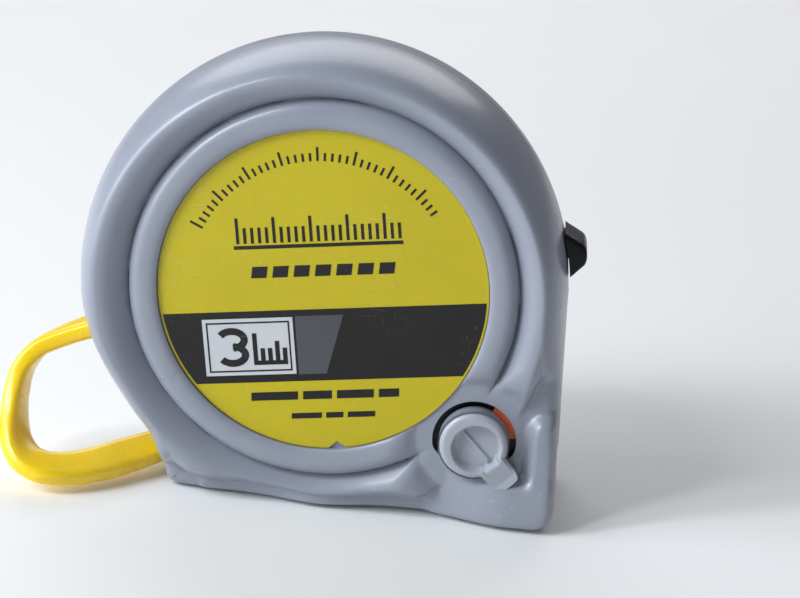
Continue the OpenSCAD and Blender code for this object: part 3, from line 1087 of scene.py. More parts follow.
    def surface(self) -> bpy.types.Object:
        """Make the closed half before anything is cut from it.

        Returns:
            The closed mesh object.
        """
        lay, sign = self.layout, self.side.value
        edge = self.outline()
        along = np.roll(edge, -1, 0) - np.roll(edge, 1, 0)
        along /= np.linalg.norm(along, axis=1)[:, None]
        outward = np.stack([along[:, 1], -along[:, 0]], 1)
        block = self.straightness(edge)
        width = soften(mix(lay.case_r - self.bead_r, self.block_edge, block), self.width_passes)
        power = mix(self.rim_power, self.block_power, block)
        inset = edge - outward * width[:, None]
        recess = lay.label_r + self.lip_gap
        middle = np.array([lay.face_x, lay.face_z])
        turn = np.arctan2(inset[:, 1] - middle[1], inset[:, 0] - middle[0])
        lip = middle + recess * np.stack([np.cos(turn), np.sin(turn)], 1)
        rings = [self.flat_ring(mix(lip, middle, 0.5), lay.floor_y),
                 self.flat_ring(lip, lay.floor_y)]
        for t in np.linspace(0.0, 1.0, self.face_rows):
            at = mix(lip, inset, t)
            rings.append(self.flat_ring(at, self.height(at[:, 0], at[:, 1])))
        tall = self.height(inset[:, 0], inset[:, 1])
        for t in np.linspace(0.0, 90.0, self.rim_rows + 1)[1:]:
            out = math.sin(math.radians(t)) ** (2.0 / power)
            up = max(math.cos(math.radians(t)), 0.0) ** (2.0 / power)
            at = inset + outward * (width * out)[:, None]
            rings.append(self.flat_ring(at, np.maximum(tall * up, self.seam)))
        rings.append(self.flat_ring(edge - outward * self.seam, 0.0))
        rings = [r * np.array([1.0, sign, 1.0]) for r in rings]
        return capped_rings(f"case_{self.side.name.lower()}", rings, self.crease)

    @staticmethod
    def flat_ring(at: np.ndarray, tall: Number) -> np.ndarray:
        """Place a ring in space.

        Args:
            at: The ring's X and Z, one row each.
            tall: The ring's Y, one for the ring or one at each point.

        Returns:
            The ring's X, Y and Z, one row each.
        """
        return np.stack([at[:, 0], np.broadcast_to(tall, len(at)), at[:, 1]], 1)

    def cutters(self) -> list[bpy.types.Object]:
        """Make the solids that are cut away: the room inside, the mouth, slots and holes.

        Returns:
            The closed cutters, each named by what it cuts.
        """
        lay, sign = self.layout, self.side.value
        past, axis = self.past, (0.0, lay.axis_z)
        hook_low, hook_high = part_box("end_hook")
        bumper_low, bumper_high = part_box("hook_bumper")
        guide_low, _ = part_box("mouth_guide")
        turn = np.linspace(*self.room_turn, 121)
        begin, run = self.room_step
        far = self.cavity_r - self.room_less * ease((turn - begin) / run)
        room = polar(axis, far, turn)
        first, last = self.window_turn
        window = np.vstack([arc(axis, self.cavity_r - past, first, last, 8),
                            arc(axis, lay.case_r + past, last, first, 8)])
        high_x, high_z0, high_z1, high_y = self.strap_high
        low_x0, low_x1, low_z0, low_z1, low_y = self.strap_low
        shapes = {
            "room": (room, self.cavity_y),
            "way": (box_outline((self.way_x, hook_low.x + self.way_in),
                                (guide_low.z, hook_high.z + self.way_up)), self.cavity_y),
            "recess": (box_outline((bumper_high.x, lay.mouth_x + past), (-past, self.mouth_z)),
                       self.mouth_y),
            "bumper": (box_outline((bumper_low.x, bumper_high.x + self.bumper_lap),
                                   (bumper_low.z, bumper_high.z)), bumper_high.y),
            "strap_top": (box_outline((-lay.case_r - past, high_x), (high_z0, high_z1)), high_y),
            "strap_foot": (box_outline((low_x0, low_x1), (low_z0, low_z1)), low_y),
            "window": (window, self.window_y),
        }
        made = [prism(f"cut_{name}", shape, -past * sign, sign * depth)
                for name, (shape, depth) in shapes.items()]
        if self.side is Side.FRONT:
            made += self.knob_cutters()
        else:
            for n, spot in enumerate(CaseScrews.spots()):
                made.append(prism(f"cut_screw{n}", arc(spot, CaseScrews.well_r, 0.0, 348.75, 31),
                                  CaseScrews.seat_y, lay.bead_y + past))
        return made

    def knob_cutters(self) -> list[bpy.types.Object]:
        """Make the knob's hole, which closes in along its lower side, and the seat behind it.

        Returns:
            The two closed cutters.
        """
        lay = self.layout
        spot = (lay.knob_x, lay.knob_z)
        turn = np.linspace(-180.0, 180.0, 96, endpoint=False)
        first, last, run = self.hole_shut
        shut = ease((turn - first) / run) * ease((last - turn) / run)
        hole = polar(spot, self.hole_r - self.hole_less * shut, turn)
        return [prism("cut_hole", hole, -lay.bead_y - self.past, -self.hole_bottom),
                prism("cut_seat", arc(spot, self.seat_r, 0.0, 352.5, 47), -self.hole_y,
                      -self.seat_y)]

    def build(self) -> bpy.types.Object:
        """Make the finished half and join it to the case.

        Returns:
            The piece's object.
        """
        made = self.surface()
        carve(made, self.cutters(), self.crease)
        node = f"{self.side.name.lower()}_shell"
        return Piece(made, Body.CASE, Slot.CASE, Look.CASE, (node,)).join()


@dataclass
class CaseScrews:
    """Cross-recessed screws that hold the two halves together, seen from the back."""

    head_y: float = 8.9 * MM
    seat_y: float = 7.4 * MM
    head_r: float = 2.15 * MM
    thread_r: float = 0.95 * MM
    recess: tuple[float, float] = (1.3 * MM, 0.34 * MM)
    recess_y: float = 0.7 * MM
    dome: Sequence[tuple[float, float]] = ((1.0, 0.5 * MM), (0.86, 0.16 * MM), (0.5, 0.0))
    well_r: float = 2.4 * MM
    apart: float = 6.0 * MM
    crease: float = 30.0

    @classmethod
    def spots(cls) -> list[tuple[float, float]]:
        """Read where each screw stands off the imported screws.

        Returns:
            The X and Z of each screw.
        """
        points = np.array([v.co for v in bpy.data.objects["case_screws"].data.vertices])
        spots: list[list[np.ndarray]] = []
        for p in points[:, [0, 2]]:
            for group in spots:
                if np.hypot(*(group[0] - p)) < cls.apart:
                    group.append(p)
                    break
            else:
                spots.append([p])
        return [tuple((np.min(g, 0) + np.max(g, 0)) / 2) for g in spots]

    def build(self) -> bpy.types.Object:
        """Make all the screws as one piece and join it to the case.

        Returns:
            The piece's object.
        """
        low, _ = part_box("case_screws")
        heads = []
        for n, (x, z) in enumerate(self.spots()):
            profile = [(self.thread_r * 0.7, low.y), (self.thread_r, low.y + 0.4 * MM),
                       (self.thread_r, self.seat_y), (self.head_r, self.seat_y),
                       *((self.head_r * share, self.head_y - drop) for share, drop in self.dome)]
            rings = [CaseShell.flat_ring(arc((x, z), r, 0.0, 345.0, 23), y) for r, y in profile]
            head = capped_rings(f"screw{n}", rings, self.crease)
            long, half = self.recess
            cross = [prism("slot", box_outline((x - a, x + a), (z - b, z + b)),
                           self.head_y - self.recess_y, self.head_y + MM)
                     for a, b in ((long, half), (half, long))]
            carve(head, cross, self.crease)
            heads.append(head)
        return Piece(merge("screws", heads), Body.CASE, Slot.STEEL, Look.STEEL, ("case_screws",)).join()


# ---------------------------------------------------------------- labels


@dataclass
class FrontLabel:
    """Round front label with plain generic print, turned a little on its seat."""

    layout: Layout
    turn: float = 7.8
    centre: tuple[float, float] = (0.0, 0.0)
    ink: float = 0.03 * MM
    notch_angle: float = -81.0
    notch_r: float = 1.15 * MM
    notch_out: float = 0.15 * MM
    edge_gap: float = 0.25 * MM
    band_gap: float = 0.3 * MM
    band: tuple[float, float] = (-2.3 * MM, -12.6 * MM)
    panel: tuple[float, float, float, float] = (-16.9 * MM, -4.4 * MM, -3.3 * MM, -11.5 * MM)
    frame_w: float = 0.22 * MM
    margin: float = 0.5 * MM
    numeral: tuple[float, float, float, float] = (3.9 * MM, 5.4 * MM, 3.7 * MM, 1.0 * MM)
    scale_at: tuple[float, float] = (6.75 * MM, 1.45 * MM)
    scale_step: float = 1.02 * MM
    scale_pen: float = 0.62 * MM
    scale_tall: tuple[float, ...] = (4.6 * MM, 2.4 * MM, 2.4 * MM, 3.4 * MM, 2.4 * MM)
    rule_count: int = 23
    rule_left: float = -11.2 * MM
    rule_step: float = 1.0 * MM
    rule_pen: float = 0.42 * MM
    rule_foot: float = 7.3 * MM
    rule_tall: tuple[float, float] = (3.6 * MM, 2.2 * MM)
    rule_line: tuple[float, float, float, float] = (-11.6 * MM, 11.4 * MM, 6.5 * MM, 7.0 * MM)
    dial_turn: tuple[float, float] = (148.0, 34.0)
    dial_count: int = 39
    dial_r: float = 18.4 * MM
    dial_tall: tuple[float, float] = (1.9 * MM, 1.1 * MM)
    dial_half: float = 0.16 * MM
    tick_group: int = 5
    patch: tuple[float, float, float] = (0.35 * MM, 3.8 * MM, 7.0 * MM)
    patch_gap: tuple[float, float] = (1.0 * MM, 0.9 * MM)

    def rim(self) -> np.ndarray:
        """Return the label's outline with its small notch.

        Returns:
            The outline's X and Z, one row each.
        """
        lay = self.layout
        edge = arc((lay.face_x, lay.face_z), lay.label_r, -180.0, 178.5, 239)
        turn, far = math.radians(self.notch_angle), lay.label_r + self.notch_out
        spot = np.array([lay.face_x + far * math.cos(turn), lay.face_z + far * math.sin(turn)])
        away = edge - spot
        far = np.linalg.norm(away, axis=1)[:, None]
        return np.where(far < self.notch_r, spot + away / far * self.notch_r, edge)

    def place(self, points: np.ndarray) -> np.ndarray:
        """Place points of the print on the label, held just inside its edge.

        Args:
            points: Points across and up from the middle of the print, one row each.

        Returns:
            The points' X and Z.
        """
        lay = self.layout
        turn = math.radians(self.turn)
        c, s = math.cos(turn), math.sin(turn)
        u, v = points[:, 0], points[:, 1]
        at = np.stack([self.centre[0] + u * c - v * s, self.centre[1] + u * s + v * c], 1)
        far = np.linalg.norm(at, axis=1)[:, None]
        limit = lay.label_r - self.edge_gap
        at = np.where(far > limit, at / far * limit, at)
        return at + np.array([lay.face_x, lay.face_z])

    def print(self, name: str, points: Sequence[Sequence[float]], look: Look, level: int = 1) -> None:
        """Lay one printed shape on the label.

        Args:
            name: Name of the printed piece.
            points: Outline across and up from the middle of the print, in metres.
            look: Look of the ink.
            level: How many inks lie under it, counted from one.
        """
        outline = self.place(np.array(points, float))
        top = -self.layout.label_y - self.ink * level
        made = prism(f"print_{name}", outline, top, -self.layout.label_y + PRINT_SINK)
        Piece(made, Body.CASE, Slot.LABEL, look).join()

    def bars(self, name: str, bars: Sequence[Sequence[float]], look: Look, level: int = 1) -> None:
        """Lay several small printed bars on the label as one piece.

        Args:
            name: Name of the printed piece.
            bars: Left, right, bottom, top and lean of each bar, in metres.
            look: Look of the ink.
            level: How many inks lie under it, counted from one.
        """
        made = []
        top = -self.layout.label_y - self.ink * level
        for n, (left, right, low, high, lean) in enumerate(bars):
            outline = self.place(np.array([[left, low], [right, low], [right + lean, high],
                                           [left + lean, high]]))
            made.append(prism(f"bar{n}", outline, top, -self.layout.label_y + PRINT_SINK))
        Piece(merge(f"print_{name}", made), Body.CASE, Slot.LABEL, look).join()

    def chord(self, v: float) -> float:
        """Return half the width of the label at a height of the print."""
        return math.sqrt(max((self.layout.label_r - self.band_gap) ** 2 - v * v, 0.0))

    def size_mark(self) -> None:
        """Print a plain size mark in its box: a numeral beside a small scale."""
        left, right, top, low = self.panel
        f = self.frame_w
        self.print("box", [(left, low), (right, low), (right, top), (left, top)],
                   Look.WHITE_INK, 2)
        a = self.margin
        frame_bars = [(left + a, right - a, low + a, low + a + f, 0.0),
                      (left + a, right - a, top - a - f, top - a, 0.0),
                      (left + a, left + a + f, low + a + f, top - a - f, 0.0),
                      (right - a - f, right - a, low + a + f, top - a - f, 0.0)]
        self.bars("box_frame", frame_bars, Look.INK, 3)
        middle, *sizes = self.numeral
        self.three(left + middle, 0.5 * (top + low), *sizes)
        foot, pen = low + self.scale_at[1], self.scale_pen
        ticks = []
        for n, tall in enumerate(self.scale_tall):
            x = left + self.scale_at[0] + n * self.scale_step
            ticks.append((x, x + pen, foot + pen, foot + tall, 0.0))
        ticks.append((ticks[0][0], ticks[-1][1], foot, foot + pen, 0.0))
        self.bars("scale", ticks, Look.INK, 3)

    def three(self, u: float, v: float, height: float, width: float, pen: float) -> None:
        """Print a plain numeral three as one bent stroke.

        Args:
            u: Middle of the numeral across the print.
            v: Middle of the numeral up the print.
            height: Height of the numeral.
            width: Width of the numeral.
            pen: Width of the stroke.
        """
        r, reach = height / 4, width / 2 - 0.1 * MM
        parts = []
        for n, (sign, start, end) in enumerate(((1.0, 150.0, -86.0), (-1.0, -150.0, 86.0))):
            centre = np.array([u, v + sign * (r - pen / 4)])
            middle = centre + (arc((0.0, 0.0), 1.0, start, end, 18)) * np.array([reach, r - pen / 8])
            along = np.gradient(middle, axis=0)
            along /= np.linalg.norm(along, axis=1)[:, None]
            across = np.stack([-along[:, 1], along[:, 0]], 1) * pen / 2
            left, right = self.place(middle + across), self.place(middle - across)
            top = -self.layout.label_y - (3.0 + 0.2 * n) * self.ink
            under = -self.layout.label_y + PRINT_SINK
            rings = [np.array([[a[0], under, a[1]], [a[0], top, a[1]], [b[0], top, b[1]],
                               [b[0], under, b[1]]]) for a, b in zip(left, right)]
            parts.append(capped_rings(f"stroke{n}", rings))
        Piece(merge("print_numeral", parts), Body.CASE, Slot.LABEL, Look.INK).join()

    def words(self) -> None:
        """Print plain bars where a label of this kind carries its words."""
        ticks = []
        for n in range(self.rule_count):
            tall = self.rule_tall[0] if n % self.tick_group == 0 else self.rule_tall[1]
            left = self.rule_left + n * self.rule_step
            ticks.append((left, left + self.rule_pen, self.rule_foot, self.rule_foot + tall, 0.0))
        ticks.append((*self.rule_line, 0.0))
        self.bars("rule", ticks, Look.INK)
        self.bars("line", [((-9.6 + n * 2.9) * MM, (-7.5 + n * 2.9) * MM, 2.4 * MM, 4.0 * MM,
                            0.3 * MM) for n in range(7)], Look.INK)
        self.bars("note", [(a * MM, b * MM, -15.3 * MM, -14.1 * MM, 0.1 * MM)
                           for a, b in ((-11.0, -4.5), (-3.8, 0.2), (0.9, 6.0), (6.7, 9.5))],
                  Look.INK)
        self.bars("foot_note", [(a * MM, b * MM, -18.1 * MM, -17.3 * MM, 0.1 * MM)
                                for a, b in ((-5.6, -1.4), (-0.8, 1.6), (2.2, 6.0))], Look.INK)

    def dial(self) -> None:
        """Print an arc of plain radial ticks along the top of the label."""
        made = []
        top, under = -self.layout.label_y - self.ink, -self.layout.label_y + PRINT_SINK
        half, base = self.dial_half, self.dial_r
        for n, angle in enumerate(np.linspace(*self.dial_turn, self.dial_count)):
            tall = self.dial_tall[0] if n % self.tick_group == 0 else self.dial_tall[1]
            c, s = math.cos(math.radians(angle)), math.sin(math.radians(angle))
            outline = self.place(np.array([[base * c + half * s, base * s - half * c],
                                           [(base + tall) * c + half * s, (base + tall) * s - half * c],
                                           [(base + tall) * c - half * s, (base + tall) * s + half * c],
                                           [base * c - half * s, base * s + half * c]]))
            made.append(prism(f"tick{n}", outline, top, under))
        Piece(merge("print_dial", made), Body.CASE, Slot.LABEL, Look.INK).join()

    def build(self) -> None:
        """Make the label and all its print."""
        lay = self.layout
        made = prism("label_front", self.rim(), -lay.label_y, -lay.floor_y)
        Piece(made, Body.CASE, Slot.LABEL, Look.LABEL, ("front_label",)).join()
        high, low = self.band
        edge = [(self.chord(v), v) for v in np.linspace(high, low, 14)]
        band = edge + [(-u, v) for u, v in reversed(edge)]
        self.print("band", band, Look.INK)
        self.size_mark()
        left, head = self.panel[1] + self.patch[0], self.panel[1] + self.patch[2]
        foot = left + self.patch[1]
        low, high = low + self.patch_gap[0], high - self.patch_gap[1]
        self.print("patch", [(left, low), (foot, low), (head, high), (left, high)],
                   Look.GREY_INK, 2)
        self.words()
        self.dial()


@dataclass
class BackLabel:
    """Plain round back label, with a ring and a few bars of print."""

    layout: Layout
    ring: tuple[float, float] = (20.3 * MM, 20.9 * MM)
    ink: float = 0.03 * MM
    row_tall: float = 1.1 * MM
    rows: Sequence[tuple[float, float]] = (
        (9.0 * MM, 10.5 * MM), (5.5 * MM, 13.0 * MM), (2.0 * MM, 13.0 * MM),
        (-6.5 * MM, 9.0 * MM), (-9.5 * MM, 6.0 * MM))

    def build(self) -> None:
        """Make the label and its print."""
        lay = self.layout
        rim = arc((lay.face_x, lay.face_z), lay.label_r, -180.0, 178.5, 239)
        made = prism("label_back", rim, lay.floor_y, lay.label_y)
        Piece(made, Body.CASE, Slot.LABEL, Look.LABEL, ("back_label",)).join()
        centre = (lay.face_x, lay.face_z)
        loops = [arc(centre, r, 0.0, 357.5, 143) for r in self.ring]
        count = len(loops[0])
        points = [np.stack([loop[:, 0], np.full(count, y), loop[:, 1]], 1)
                  for loop, y in ((loops[0], lay.label_y), (loops[0], lay.label_y + self.ink),
                                  (loops[1], lay.label_y + self.ink), (loops[1], lay.label_y))]
        faces = ring_faces(4, count)
        faces += [(3 * count + j, 3 * count + (j + 1) % count, (j + 1) % count, j)
                  for j in range(count)]
        Piece(make_mesh("print_ring", np.vstack(points), faces), Body.CASE, Slot.LABEL, Look.INK).join()
        rows = []
        for n, (up, half) in enumerate(self.rows):
            foot = lay.axis_z + up
            outline = box_outline((-half, half), (foot, foot + self.row_tall))
            rows.append(prism(f"row{n}", outline, lay.label_y - PRINT_SINK, lay.label_y + self.ink))
        Piece(merge("print_rows", rows), Body.CASE, Slot.LABEL, Look.INK).join()


# ---------------------------------------------------------------- strap


@dataclass
class WristStrap:
    """Moulded vinyl loop: a rounded ribbon that leaves the case, turns and comes back."""

    width: float = 5.5 * MM
    thick: float = 2.7 * MM
    squareness: tuple[float, float] = (0.42, 0.62)
    around: int = 32
    steps: int = 12
    lift: float = 0.02 * MM
    crease: float = 60.0
    route: Sequence[tuple[float, float, float]] = (
        (-26.6, 0.0, 22.0), (-29.6, 0.0, 21.3), (-33.0, 0.0, 20.1), (-36.9, -0.4, 18.4),
        (-40.0, -1.2, 16.6), (-41.9, -2.6, 14.0), (-42.4, -4.6, 10.9), (-42.0, -7.2, 7.9),
        (-40.9, -10.0, 5.6), (-38.9, -12.2, 4.0), (-36.0, -12.8, 3.2), (-32.6, -11.4, 2.9),
        (-29.0, -8.6, 3.0), (-25.8, -5.2, 3.2), (-22.4, -1.9, 3.6), (-19.4, -0.3, 4.1),
        (-16.5, 0.0, 4.7))
    twist: Sequence[float] = (0, 0, 0, 4, 8, 8, 6, 6, 8, 12, 14, 18, 22, 24, 16, 6, 0)

    def section(self) -> np.ndarray:
        """Draw the ribbon's rounded section.

        Returns:
            The section's points, across and outwards.
        """
        turn = np.linspace(0.0, 2.0 * math.pi, self.around, endpoint=False)
        c, s = np.cos(turn), np.sin(turn)
        across = np.sign(c) * np.abs(c) ** self.squareness[0] * self.width / 2
        out = np.sign(s) * np.abs(s) ** self.squareness[1] * self.thick / 2
        return np.stack([across, out], 1)

    def build(self) -> bpy.types.Object:
        """Sweep the section along the route and join the strap to the case.

        Returns:
            The piece's object.
        """
        path = spline(self.route, self.steps) * MM
        twist = np.radians(spline(self.twist, self.steps)[:, 0])
        along = np.gradient(path, axis=0)
        along /= np.linalg.norm(along, axis=1)[:, None]
        rings = []
        for at, way, turn in zip(path, along, twist):
            side = np.array([0.0, 1.0, 0.0]) - way[1] * way
            side /= np.linalg.norm(side)
            out = np.cross(way, side)
            c, s = math.cos(turn), math.sin(turn)
            a, b = c * side + s * out, c * out - s * side
            ring = at + self.section() @ np.stack([a, b])
            ring[:, 2] = np.maximum(ring[:, 2], self.lift)
            rings.append(ring)
        made = capped_rings("strap", rings, self.crease)
        return Piece(made, Body.CASE, Slot.VINYL, Look.VINYL, ("wrist_strap",)).join()


# ---------------------------------------------------------------- brake


@dataclass
class BrakeKnob:
    """Turning knob of the brake: a round body with a dished face, a rib and a pointer tab."""

    layout: Layout
    base_y: float = 9.2 * MM
    radius: float = 4.9 * MM
    crest_r: float = 3.95 * MM
    dish_r: float = 3.3 * MM
    dish: float = 1.35 * MM
    dish_shift: tuple[float, float] = (0.45 * MM, -0.35 * MM)
    round_w: float = 1.3 * MM
    rib_angle: float = -45.0
    rib_half: float = 0.3 * MM
    rib_up: float = 0.42 * MM
    tab_angle: float = -45.0
    tab_r: float = 7.75 * MM
    tab_half: float = 2.0 * MM
    tab_drop: float = 0.7 * MM
    tab_under: float = 2.6 * MM
    tab_fillet: tuple[float, float] = (1.2 * MM, 0.5 * MM)
    tab_from: float = 4.3 * MM
    bowl_edge: tuple[float, float] = (0.25 * MM, 0.6 * MM)
    rib_edge: tuple[float, float] = (0.2 * MM, 0.35 * MM)
    rib_end: tuple[float, float] = (0.2 * MM, 0.5 * MM)
    shaft_r: float = 2.4 * MM
    shaft_down: float = 0.7 * MM
    foot_edge: float = 0.12 * MM
    under_edge: float = 0.1 * MM
    crease: float = 50.0
    columns: int = 180
    rows: int = 30

    def reach(self, turn: np.ndarray) -> np.ndarray:
        """Find the outline's radius at each angle, with the tab's filleted sides.

        Args:
            turn: Angles about the knob's axis, in degrees.

        Returns:
            The radius at each angle.
        """
        away = np.radians(turn - self.tab_angle)
        ahead = np.cos(away) > 0.0
        end = np.where(ahead, self.tab_r / np.maximum(np.cos(away * 0.55), 0.2), self.radius)
        side = self.tab_half / np.maximum(np.abs(np.sin(away)), 1e-3)
        corner, root = self.tab_fillet
        tab = np.where(ahead, -smooth_max(-end, -side, corner), 0.0)
        return soften(smooth_max(np.full_like(turn, self.radius), tab, root), 3)

    def height(self, a: np.ndarray, b: np.ndarray) -> np.ndarray:
        """Return the height of the face over the knob's base.

        Args:
            a: X of each point from the knob's axis.
            b: Z of each point from the knob's axis.

        Returns:
            The height of the face.
        """
        r = np.hypot(a, b)
        tall = np.full_like(r, self.layout.knob_top - self.base_y)
        from_dish = np.hypot(a - self.dish_shift[0], b - self.dish_shift[1])
        bowl = ease((self.dish_r + self.bowl_edge[0] - from_dish) / self.bowl_edge[1])
        turn = math.radians(self.rib_angle)
        along = a * math.cos(turn) + b * math.sin(turn)
        across = np.abs(-a * math.sin(turn) + b * math.cos(turn))
        rib = ease((self.rib_half + self.rib_edge[0] - across) / self.rib_edge[1])
        rib = rib * ease((self.dish_r + self.rib_end[0] - np.abs(along)) / self.rib_end[1])
        tall = tall - bowl * self.dish + rib * bowl * self.rib_up
        way = math.radians(self.tab_angle)
        out = a * math.cos(way) + b * math.sin(way)
        slope = np.clip((out - self.tab_from) / (self.tab_r - self.tab_from), 0.0, 1.0)
        return tall - slope * self.tab_drop

    def ring(self, turn: np.ndarray, r: Number, tall: Number) -> np.ndarray:
        """Make one ring of the knob's surface.

        Args:
            turn: Angles about the knob's axis, in radians.
            r: The radius, one for the ring or one at each angle.
            tall: The height over the knob's base, one for the ring or one at each angle.

        Returns:
            The ring's points, one row each.
        """
        lay = self.layout
        y = np.broadcast_to(-(self.base_y + tall), turn.shape)
        return np.stack([lay.knob_x + r * np.cos(turn), y, lay.knob_z + r * np.sin(turn)], 1)

    def build(self) -> bpy.types.Object:
        """Make the knob and join it to the brake.

        Returns:
            The piece's object.
        """
        degrees = np.linspace(-180.0, 180.0, self.columns, endpoint=False)
        reach, turn = self.reach(degrees), np.radians(degrees)
        foot, under = self.foot_edge, self.under_edge
        steps = [(self.shaft_r, -self.shaft_down), (self.shaft_r, 0.0), (self.radius - foot, 0.0),
                 (self.radius, foot), (self.radius, self.tab_under - under),
                 (np.maximum(reach, self.radius), self.tab_under + under)]
        inner = reach - (self.radius - self.crest_r)
        edge = self.height(inner * np.cos(turn), inner * np.sin(turn))
        for t in np.radians(np.linspace(0.0, 84.0, 9)):
            steps.append((inner + (reach - inner) * math.cos(t),
                          edge - self.round_w * (1.0 - math.sin(t))))
        for t in np.linspace(1.0, 0.02, self.rows):
            r = inner * t
            steps.append((r, self.height(r * np.cos(turn), r * np.sin(turn))))
        rings = [self.ring(turn, r, tall) for r, tall in steps]
        made = capped_rings("knob", rings, self.crease)
        return Piece(made, Body.BRAKE, Slot.KNOB, Look.KNOB, ("brake_knob",)).join()


@dataclass
class ThumbLock:
    """Black thumb button on the case's edge: a rounded block with a stem into the slot."""

    layout: Layout
    half_y: float = 3.5 * MM
    edge: float = 0.6 * MM
    profile: Sequence[tuple[float, float]] = (
        (17.6, 34.2), (16.6, 34.8), (15.6, 35.45), (14.6, 36.1), (13.8, 36.5), (12.6, 36.68),
        (10.8, 36.57), (9.6, 36.2), (8.7, 35.5), (7.8, 34.85), (6.9, 34.2))
    under_gap: float = 0.3 * MM
    stem: tuple[float, float, float, float] = (11.0, 16.5, 31.5, 34.6)
    stem_y: float = 2.0 * MM
    crease: float = 50.0

    def under(self, y: float) -> float:
        """Find the radius of the underside, which follows the case's rim.

        Args:
            y: Where the underside is asked for, across the case.

        Returns:
            The radius about the reel's axis.
        """
        rim = CaseShell(self.layout, Side.FRONT)
        fall = (1.0 - (abs(y) / rim.bead_y) ** rim.rim_power) ** (1.0 / rim.rim_power)
        return rim.bead_r + fall * (self.layout.case_r - rim.bead_r) + self.under_gap

    def outline(self, y: float, shrink: float) -> np.ndarray:
        """Return the button's side outline, moved inwards by shrink.

        Args:
            y: Where the outline lies across the case.
            shrink: How far the outline lies inside its full size.

        Returns:
            The outline in X and Z.
        """
        points = np.array([self.layout.from_axis(angle, r * MM)
                           for angle, r in spline(self.profile, 3)])
        along = np.gradient(points, axis=0)
        along /= np.linalg.norm(along, axis=1)[:, None]
        points += shrink * np.stack([along[:, 1], -along[:, 0]], 1)
        low_r = self.under(y)
        r = np.maximum(np.hypot(points[:, 0], points[:, 1] - self.layout.axis_z), low_r)
        turn = np.arctan2(points[:, 1] - self.layout.axis_z, points[:, 0])
        below = np.linspace(turn[-1], turn[0], 12)[1:-1]
        turn, r = np.concatenate([turn, below]), np.concatenate([r, np.full(len(below), low_r)])
        return np.stack([r * np.cos(turn), self.layout.axis_z + r * np.sin(turn)], 1)

    def build(self) -> bpy.types.Object:
        """Make the button and join it to the lock.

        Returns:
            The piece's object.
        """
        rings = []
        levels = np.radians(np.linspace(0.0, 90.0, 6))
        steps = [(-self.half_y + self.edge * (1.0 - math.sin(t)), self.edge * (1.0 - math.cos(t)))
                 for t in levels[::-1]]
        steps += [(-y, shrink) for y, shrink in reversed(steps)]
        for y, shrink in steps:
            rings.append(CaseShell.flat_ring(self.outline(y, shrink), y))
        parts = [capped_rings("block", rings, self.crease)]
        a0, a1, r0, r1 = self.stem
        centre = (0.0, self.layout.axis_z)
        stem = np.vstack([arc(centre, r0 * MM, a0, a1, 6), arc(centre, r1 * MM, a1, a0, 6)])
        parts.append(prism("stem", stem, -self.stem_y, self.stem_y))
        made = merge("thumb_button", parts, self.crease)
        return Piece(made, Body.LOCK, Slot.BLACK, Look.BLACK, ("lock_button",)).join()


# ---------------------------------------------------------------- sheet metal


@dataclass
class SheetStrip:
    """A strip of sheet bent along a side profile, with rounded edges."""

    name: str
    thick: float
    edge: float = 0.12 * MM
    crease: float = 40.0

    def build(self, path: np.ndarray, halves: np.ndarray, plane: Plane) -> bpy.types.Object:
        """Sweep the strip.

        Args:
            path: Points of the side profile: X and Z, or Y and Z.
            halves: Half the strip's width at each point.
            plane: The plane that the profile lies in.

        Returns:
            The closed mesh object.
        """
        along = np.gradient(path, axis=0)
        along /= np.maximum(np.linalg.norm(along, axis=1)[:, None], 1e-9)
        normal = np.stack([-along[:, 1], along[:, 0]], 1)
        rings = []
        for at, up, half in zip(path, normal, halves):
            t, e = self.thick / 2, min(self.edge, self.thick * 0.4)
            ring = [(half, t - e), (half - e, t), (0.0, t), (e - half, t), (-half, t - e),
                    (-half, e - t), (e - half, -t), (0.0, -t), (half - e, -t), (half, e - t)]
            spots = []
            for across, out in ring:
                a, b = at + up * out
                spots.append((a, across, b) if plane is Plane.XZ else (across, a, b))
            rings.append(np.array(spots))
        return capped_rings(self.name, rings, self.crease)


@dataclass
class BeltClip:
    """Spring clip on the back, with a rounded foot."""

    width: float = 13.0 * MM
    thick: float = 0.8 * MM
    profile: Sequence[tuple[float, float]] = (
        (11.46, 58.4), (11.46, 54.0), (11.46, 50.9), (12.5, 48.2), (13.9, 46.2), (14.2, 43.0),
        (14.2, 36.0), (14.2, 28.0), (14.1, 24.0), (13.3, 21.6), (12.75, 19.8), (13.1, 18.0),
        (13.9, 16.7))
    end_round: float = 4.2 * MM
    inside: float = 0.2 * MM
    gap: float = 0.02 * MM

    def build(self) -> bpy.types.Object:
        """Make the clip and join it to the case.

        Returns:
            The piece's object.
        """
        low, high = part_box("belt_clip")
        path = spline(self.profile, 6) * MM
        path[:, 1] = low.z + self.inside + (path[:, 1] - path[:, 1].min()) * (
            (high.z - low.z - 2 * self.inside) / np.ptp(path[:, 1]))
        path[:, 0] += (high.y - self.gap - self.thick / 2) - path[:, 0].max()
        length = np.concatenate([[0.0], np.cumsum(np.linalg.norm(np.diff(path, axis=0), axis=1))])
        to_end = np.minimum(length, length[-1] - length)
        short = np.clip(1.0 - to_end / self.end_round, 0.0, 1.0)
        half = self.width / 2 - self.end_round * (1.0 - np.sqrt(1.0 - short ** 2))
        made = SheetStrip("clip", self.thick).build(path, half, Plane.YZ)
        return Piece(made, Body.CASE, Slot.BRIGHT, Look.BRIGHT, ("belt_clip",)).join()


